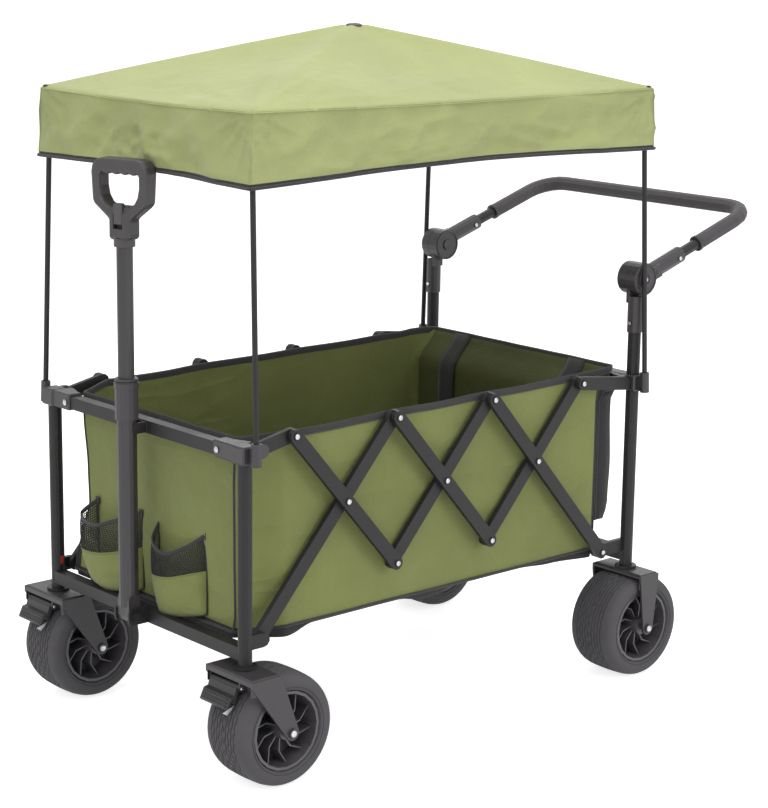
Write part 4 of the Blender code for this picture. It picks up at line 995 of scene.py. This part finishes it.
def bag_pockets():
    """Two bottle pockets on the front: cloth below, net above, elastic drawn across the top."""
    pieces = []
    for word, start in (("left", -0.158), ("right", 0.008)):
        lower = pocket_sheet(f"front_pocket_{word}", start, ("base", "lip"), GREEN, 32, 12)
        thicken(lower, 0.0013, 0.0)
        net = pocket_sheet(f"front_pocket_net_{word}", start, ("lip", "elastic"), NET, 40, 16)
        wire = net.modifiers.new("net", "WIREFRAME")
        wire.thickness = 0.0013
        apply_modifiers(net)
        runs = {line: [pocket_point(line, start, k / 32) for k in range(33)] for line in RIGHT_POCKET}
        lip = [p + Vector((0, -0.0004, 0.0)) for p in runs["lip"]]
        floor = [
            [Vector((p.x, BAG_FRONT - 0.0014, p.z + 0.002)) for p in runs["base"]], runs["base"],
        ]
        pieces += [
            lower, net,
            strip(f"front_pocket_elastic_{word}", runs["elastic"], (0, 0, 1), 0.0075, 0.0020, TAPE),
            tube(f"front_pocket_hem_{word}", lip, 0.0011, GREEN, sides=2),
            # Painted shadow: a dark cord drawn along the pocket's base line.
            tube(f"front_pocket_base_shadow_{word}", runs["base"], 0.0012, TAPE, sides=2),
            thicken(skin(f"front_pocket_floor_{word}", floor, [GREEN], closed=False), 0.0013, 0.0),
        ]
        for end, s in (("a", 0.0), ("b", 1.0)):
            base, lip_end, high = (pocket_point(line, start, s) for line in ("base", "lip", "elastic"))
            edge = [base.lerp(lip_end, k / 6) for k in range(7)]
            edge += [lip_end.lerp(high, k / 6) for k in range(1, 7)]
            edge = [Vector((p.x, BAG_FRONT - 0.0026, p.z)) for p in edge]
            pieces.append(strip(f"front_pocket_side_{word}_{end}", edge, (1, 0, 0), 0.0034, 0.0014, TAPE))
            top = edge[-1]
            tack = [top + Vector((0, -0.0006, -0.006 + 0.012 * k / 3)) for k in range(4)]
            pieces.append(strip(f"front_pocket_tack_{word}_{end}", tack, (1, 0, 0), 0.010, 0.0016, TAPE))
    return ready(*pieces)


def bag_pouch():
    """The flat storage pouch sewn to the back, black at its ends, open under a drawn hem."""
    rows = []
    for r in range(17):
        t = r / 16
        z = 0.2745 + 0.2225 * t
        row = []
        for k in range(73):
            s = (k - 2) / 68
            x = min(0.2285, max(-0.2285, 0.2285 - 0.457 * s))
            edge = min(1.0, min(k, 72 - k) / 2)
            bulge = edge * (0.95 + 0.05 * math.sin(math.pi * min(1, t * 1.1)))
            depth = 0.0335 * bulge * min(1.0, 0.68 + 3.5 * t) + 0.0022 * wobble((x, 0, z), 13.0, 9.0) * edge
            row.append(Vector((x, BAG_BACK + 0.0012 + lean(z) + depth, z)))
        rows.append(row)
    face = skin(
        "rear_pouch", rows, [GREEN, TAPE, BLACK], closed=False,
        pick=lambda r, k: 1 if r == 15 else 2 if k < 3 or k > 68 else 0,
    )
    outward(face, (0, 0, 0.38))
    thicken(face, 0.0014)
    hem = [p + Vector((0, 0.0004, 0.001)) for p in rows[-1]]
    cord = tube("rear_pouch_hem", hem, 0.0022, TAPE)
    floor_rows = [[Vector((p.x, BAG_BACK + 0.001, p.z)) for p in rows[0]], rows[0]]
    floor = thicken(skin("rear_pouch_floor", floor_rows, [GREEN], closed=False), 0.0014, 0.0)
    edges = []
    for number, k in enumerate((0, 72)):
        points = [row[k] + Vector((0, 0.0016, 0)) for row in rows]
        edges.append(tube(f"rear_pouch_edge_{number}", points, 0.0024, TAPE))
    return ready(face, cord, floor, *edges)


def bag_straps():
    """Webbing loops from the rim round the rear top rail, and two strips down inside the back."""
    pieces = []
    half = RAIL_HALF
    for word, side in SIDES:
        x, y, z = side * 0.140, LEG_Y, RAIL_Z
        loop = []
        for k in range(33):
            angle = 2 * math.pi * k / 32
            c, s = math.cos(angle), math.sin(angle)
            reach = half / max(abs(c), abs(s)) * (1 - 0.06 * min(abs(c), abs(s)))
            loop.append((x, y + reach * c, z + reach * s))
        pieces.append(strip(f"rear_rail_loop_{word}", loop, (1, 0, 0), 0.038, 0.0016, TAPE))
        inner = y - half
        tail = [(x, inner + 0.0010 - 0.0050 * k / 4, z + half + 0.0010 + 0.0135 * k / 4) for k in range(5)]
        pieces.append(strip(f"rear_rail_tail_{word}", tail, (1, 0, 0), 0.038, 0.0018, TAPE))
        down = []
        for k in range(19):
            height = 0.5370 - 0.300 * k / 18
            inside = BAG_BACK + lean(height) - 0.0050 + 0.0008 * math.sin(k * 0.9)
            down.append((side * 0.1425, inside, height))
        pieces.append(strip(f"inner_strap_{word}", down, (1, 0, 0), 0.038, 0.0018, TAPE))
    return ready(*pieces)


def bag_base():
    """The stiffened floor: four cloth-covered boards with fold lines between them."""
    boards = []
    length = (BAG_BACK - BAG_FRONT - 0.030) / 4

    def at(s, t):
        edge = min(min(s, 1 - s) / 0.05, min(t, 1 - t) / 0.12, 1.0)
        x, y = (2 * s - 1) * 0.150, start + 0.002 + (length - 0.004) * t
        z = 0.2084 + 0.0040 * math.sin(edge * math.pi / 2) + 0.0005 * wobble((x, y, 0), 18.0, 3.0)
        return Vector((x, y, z))

    for number in range(4):
        start = BAG_FRONT + 0.015 + length * number
        rows = grid(12, 24, at)
        board = skin(f"floor_board_{number}", rows, [BLACK], closed=False)
        outward(board, (0, start, 0.0))
        thicken(board, 0.0016)
        boards.append(board)
    return ready(*boards)


# Wheels and small fittings


def tyre_line(angle, step):
    """Half the tread's section at an angle: lip, smooth shoulder, then wavy grooves with small cuts."""
    points = [
        (0.0440, 0.0632), (0.0459, 0.0640), (0.0466, 0.0652), (0.0465, 0.0664), (0.0455, 0.0670),
        (0.0455, 0.0678), (0.0468, 0.0688), (0.0471, 0.0715), (0.0470, 0.0750), (0.0463, 0.0785),
        (0.0449, 0.0814), (0.0426, 0.0838), (0.0396, 0.0855), (0.0360, 0.0867), (0.0325, 0.0874),
        (0.0305, 0.0877),
    ]
    wave = 0.0009 * math.sin(angle * 30)
    for number in range(5):
        centre = 0.0264 - 0.0064 * number
        crown = 0.0881 + 0.0009 * (1 - (centre / 0.028) ** 2)
        shift = wave * (1 if number % 2 else -1)
        nick = 0.0009 if (step + 3 * number) % 6 == 0 else 0.0
        points += [
            (centre + 0.0016 + shift, crown - nick), (centre + 0.0008 + shift, crown - 0.0020),
            (centre - 0.0004 + shift, crown - 0.0020), (centre - 0.0012 + shift, crown),
            (centre - 0.0030, crown + 0.0001 - nick),
        ]
    return points


def make_tyres():
    """Wide tyres with smooth round shoulders and wavy grooves between narrow ribs."""
    steps = 180
    rows = []
    for k in range(steps):
        angle = 2 * math.pi * k / steps
        near = [(-w, r) for w, r in tyre_line(angle, k)]
        far = tyre_line(angle + 0.1, k + 3)[:-1]
        line = near + far[::-1] + [(0.043, 0.0626), (-0.043, 0.0626)]
        rows.append([Vector((w, r * math.cos(angle), r * math.sin(angle))) for w, r in line])
    rows.append(rows[0])
    for place, y in (("front", -LEG_Y + TRAIL), ("rear", LEG_Y)):
        for word, side in SIDES:
            tyre = skin(f"tread_{place}_{word}", rows, [TYRE])
            edited(tyre, lambda bm: bmesh.ops.remove_doubles(bm, verts=bm.verts, dist=1e-5))
            tyre.data.set_sharp_from_angle(angle=math.radians(42))
            tyre.data.transform(Matrix.Translation((side * LEG_X, y, WHEEL_R)))
            placed(tyre, f"wheel_{place}_{word}")
            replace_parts(tyre, f"tyre_{place}_{word}")


def make_rivets():
    """The bright heads of the rivets and axles, over the CAD's plain ones."""
    face = OUTER_FACE + 0.0019
    lattice = {
        "bars_front_outer": (TOP[0], CROSS[0], LOW[0]),
        "bars_middle_outer": (TOP[1], CROSS[1], LOW[1]),
        "bars_rear_outer": (TOP[2], CROSS[2], REAR_END),
        "links_rear": (TOP[3],),
    }
    for body, pivots in lattice.items():
        places = [
            ((side * face, y, z), (side, 0, 0), 0.0044, 0.0015) for _, side in SIDES for y, z in pivots
        ]
        domes(f"rivets_{body}", body, places)
    for word, side in SIDES:
        for place, body, y in (
            ("caster", f"caster_{word}", -LEG_Y + TRAIL),
            ("rear_wheel", "rear_frame", LEG_Y),
        ):
            ends = [((side * LEG_X + e * 0.0602, y, WHEEL_R), (e, 0, 0), 0.0054, 0.0018) for e in (-1, 1)]
            domes(f"axle_ends_{place}_{word}", body, ends)
        pins = [
            ((side * LEG_X - 0.0514, -LEG_Y - 0.022, PEDAL_Z), (-1, 0, 0), 0.0032, 0.0012),
            ((side * LEG_X + 0.0214, -LEG_Y - 0.022, PEDAL_Z), (1, 0, 0), 0.0032, 0.0012),
            ((side * LEG_X + 0.0395, -LEG_Y - 0.0140, PEDAL_Z + 0.0015), (0, -1, 0), 0.0022, 0.0012),
        ]
        domes(f"pedal_pin_ends_{word}", f"caster_{word}", pins)
        hub = ((side * (LEG_X + 0.0150), *HUB_AXIS), (side, 0, 0), 0.0036, 0.0011)
        domes(f"hub_rivet_{word}", "rear_frame", [hub])
        stub = [(arm_at(side * LEG_X + e * 0.0154, 0.089), (e, 0, 0), 0.0036, 0.0011) for e in (-1, 1)]
        domes(f"socket_rivets_{word}", "push_bar", stub)
    for place, end in (("front", -1), ("rear", 1)):
        y = end * (LEG_Y + 0.0145)
        rail = [((side * 0.2005, y, RAIL_Z), (0, end, 0), 0.0050, 0.0012) for _, side in SIDES]
        domes(f"bracket_rivets_{place}", f"{place}_frame", rail)


def turned_ring(name, body, at, along, profile):
    """A plastic ring with the given (distance along its axis, radius) section."""
    place = Matrix.Translation(at) @ Vector(along).to_track_quat("Z", "Y").to_matrix().to_4x4()
    turns = [2 * math.pi * k / 40 for k in range(40)]
    rows = [
        [place @ Vector((r * math.cos(a), r * math.sin(a), w)) for a in turns]
        for w, r in [*profile, profile[0]]
    ]
    ring = skin(name, rows, [PLASTIC])
    edited(ring, lambda bm: bmesh.ops.remove_doubles(bm, verts=bm.verts, dist=1e-6))
    ring.data.set_sharp_from_angle(angle=math.radians(40))
    placed(ring, body)


def make_rings():
    """Collars at the ends of the foam, the pull tubes' mouths and the round covers of the hubs."""
    slope = Vector((0, math.cos(SLOPE), math.sin(SLOPE)))
    collar = [
        (-0.0042, 0.0098), (-0.0042, 0.0128), (-0.0030, 0.0139), (0.0016, 0.0139), (0.0026, 0.0128),
        (0.0026, 0.0098),
    ]
    cover = [(0.0, 0.0242), (0.0, 0.0262), (0.0011, 0.0256), (0.0014, 0.0246), (0.0008, 0.0236)]
    dish = [(0.0, 0.0), (0.0, 0.0105), (0.0012, 0.0100), (0.0022, 0.0085), (0.0018, 0.0060), (0.0014, 0.0)]
    boss = [(0.0, 0.0080), (0.0, 0.0148), (0.0013, 0.0142), (0.0019, 0.0128), (0.0019, 0.0084)]
    mouth = [
        (0.0, 0.0129), (0.0, 0.0170), (0.0010, 0.0182), (0.0034, 0.0182), (0.0044, 0.0170),
        (0.0044, 0.0129),
    ]
    for word, side in SIDES:
        turned_ring(f"foam_collar_{word}", "push_bar", arm_at(side * LEG_X, 0.150), slope, collar)
        for name, body, x, out, profile in (
            ("hub_inner_rim", "rear_frame", LEG_X - 0.0266, -side, cover),
            ("hub_inner_boss", "rear_frame", LEG_X - 0.0266, -side, dish),
            ("hub_rim", "push_bar", LEG_X + 0.0131, side, cover),
            ("hub_boss", "push_bar", LEG_X + 0.0131, side, boss),
        ):
            turned_ring(f"{name}_{word}", body, (side * x, *HUB_AXIS), (out, 0, 0), profile)
    turned_ring("sleeve_mouth", "handle", (0, -0.447, 0.5834), (0, 0, 1), mouth)


def brake_plates():
    """The bright corner of each brake's steel shoe, seen under the pedal's right end."""
    for word, side in SIDES:
        x = side * LEG_X + 0.0186
        corners = ((-0.0560, -0.0315), (-0.0350, -0.0240), (-0.0400, -0.0305), (-0.0475, -0.0370))
        rows = [[Vector((x + w, -LEG_Y + y, PEDAL_Z + z)) for y, z in corners] for w in (-0.0006, 0.0006)]
        plate = skin(f"brake_shoe_plate_{word}", rows, [ZINC], smooth=False)
        edited(plate, closed_and_eased)
        placed(plate, f"brake_pedal_{word}")


def closed_and_eased(bm):
    bmesh.ops.holes_fill(bm, edges=bm.edges)
    bmesh.ops.bevel(bm, geom=bm.edges[:], offset=0.0002, segments=2, affect="EDGES")


def red_tab():
    """The short red tab on the left front leg."""
    points = [(-LEG_X + 0.0118, -LEG_Y + 0.001, 0.231 + 0.014 * k / 4) for k in range(5)]
    placed(strip("red_side_tab", points, (0, 1, 0), 0.0062, 0.0010, RED), "front_frame")


# Stage, light and camera


def make_stage():
    """A pale floor and world that look white to the camera and in reflections."""
    floor_mesh = bpy.data.meshes.new("floor")
    floor_mesh.from_pydata([(-30, -30, 0), (30, -30, 0), (30, 30, 0), (-30, 30, 0)], [], [(0, 1, 2, 3)])
    s = Shader("pale_floor")
    path = s.node("ShaderNodeLightPath")
    seen = s.math("MAXIMUM", path.outputs["Is Camera Ray"], path.outputs["Is Glossy Ray"])
    seen = s.math("MAXIMUM", seen, path.outputs["Is Transmission Ray"])
    glow = s.math("MULTIPLY", seen, 0.75)
    white = (1, 1, 1, 1)
    s.set(Base_Color=(0.80, 0.80, 0.80, 1), Roughness=0.9, Emission_Color=white, Emission_Strength=glow)
    floor = new_object("floor", floor_mesh, s.material)
    floor.location.z = -0.0002
    world = bpy.data.worlds.new("studio")
    bpy.context.scene.world = world
    world.use_nodes = True
    tree = world.node_tree
    back = tree.nodes["Background"]
    path = tree.nodes.new("ShaderNodeLightPath")
    seen = tree.nodes.new("ShaderNodeMath")
    seen.operation = "MAXIMUM"
    tree.links.new(path.outputs["Is Camera Ray"], seen.inputs[0])
    tree.links.new(path.outputs["Is Glossy Ray"], seen.inputs[1])
    strength = tree.nodes.new("ShaderNodeMapRange")
    tree.links.new(seen.outputs[0], strength.inputs["Value"])
    strength.inputs["To Min"].default_value = 0.55
    strength.inputs["To Max"].default_value = 1.0
    tree.links.new(strength.outputs["Result"], back.inputs["Strength"])
    back.inputs["Color"].default_value = white


def area_light(name, at, towards, size, power):
    light = bpy.data.lights.new(name, "AREA")
    light.shape = "RECTANGLE"
    light.size, light.size_y = size
    light.energy = power
    obj = new_object(name, light)
    obj.location = at
    obj.rotation_euler = (Vector(towards) - Vector(at)).to_track_quat("-Z", "Y").to_euler()


def make_lights():
    area_light("overhead", (0.2, -0.3, 3.4), (0, 0, 0.6), (3.0, 3.0), 62)
    area_light("key", (1.2, -3.4, 2.4), (0, 0, 0.55), (1.8, 2.2), 27)
    area_light("side", (3.6, 0.8, 1.8), (0, 0, 0.5), (2.0, 2.0), 36)
    area_light("rear", (-2.6, 2.4, 2.2), (0, 0, 0.6), (2.0, 1.6), 18)


def make_camera():
    """The camera at the photograph's angle, fitted to its perspective."""
    turn, rise, roll = math.radians(48.596), math.radians(12.6), math.radians(0.790)
    back = Vector((math.sin(turn) * math.cos(rise), -math.cos(turn) * math.cos(rise), math.sin(rise)))
    right = Vector((math.cos(turn), math.sin(turn), 0))
    up = back.cross(right)
    across = math.cos(roll) * right + math.sin(roll) * up
    upward = -math.sin(roll) * right + math.cos(roll) * up
    data = bpy.data.cameras.new("camera")
    data.lens = 97.456
    data.sensor_width = 36
    camera = new_object("camera", data)
    aim = Matrix((across, upward, back)).transposed().to_4x4()
    camera.matrix_world = Matrix.Translation((2.6917, -2.2987, 1.2776)) @ aim
    bpy.context.scene.camera = camera
    bpy.context.scene.view_settings.view_transform = "Standard"


make_camera()
dress_nodes()
make_canopy()
make_bag()
make_tyres()
make_rivets()
make_rings()
brake_plates()
red_tab()
make_stage()
make_lights()
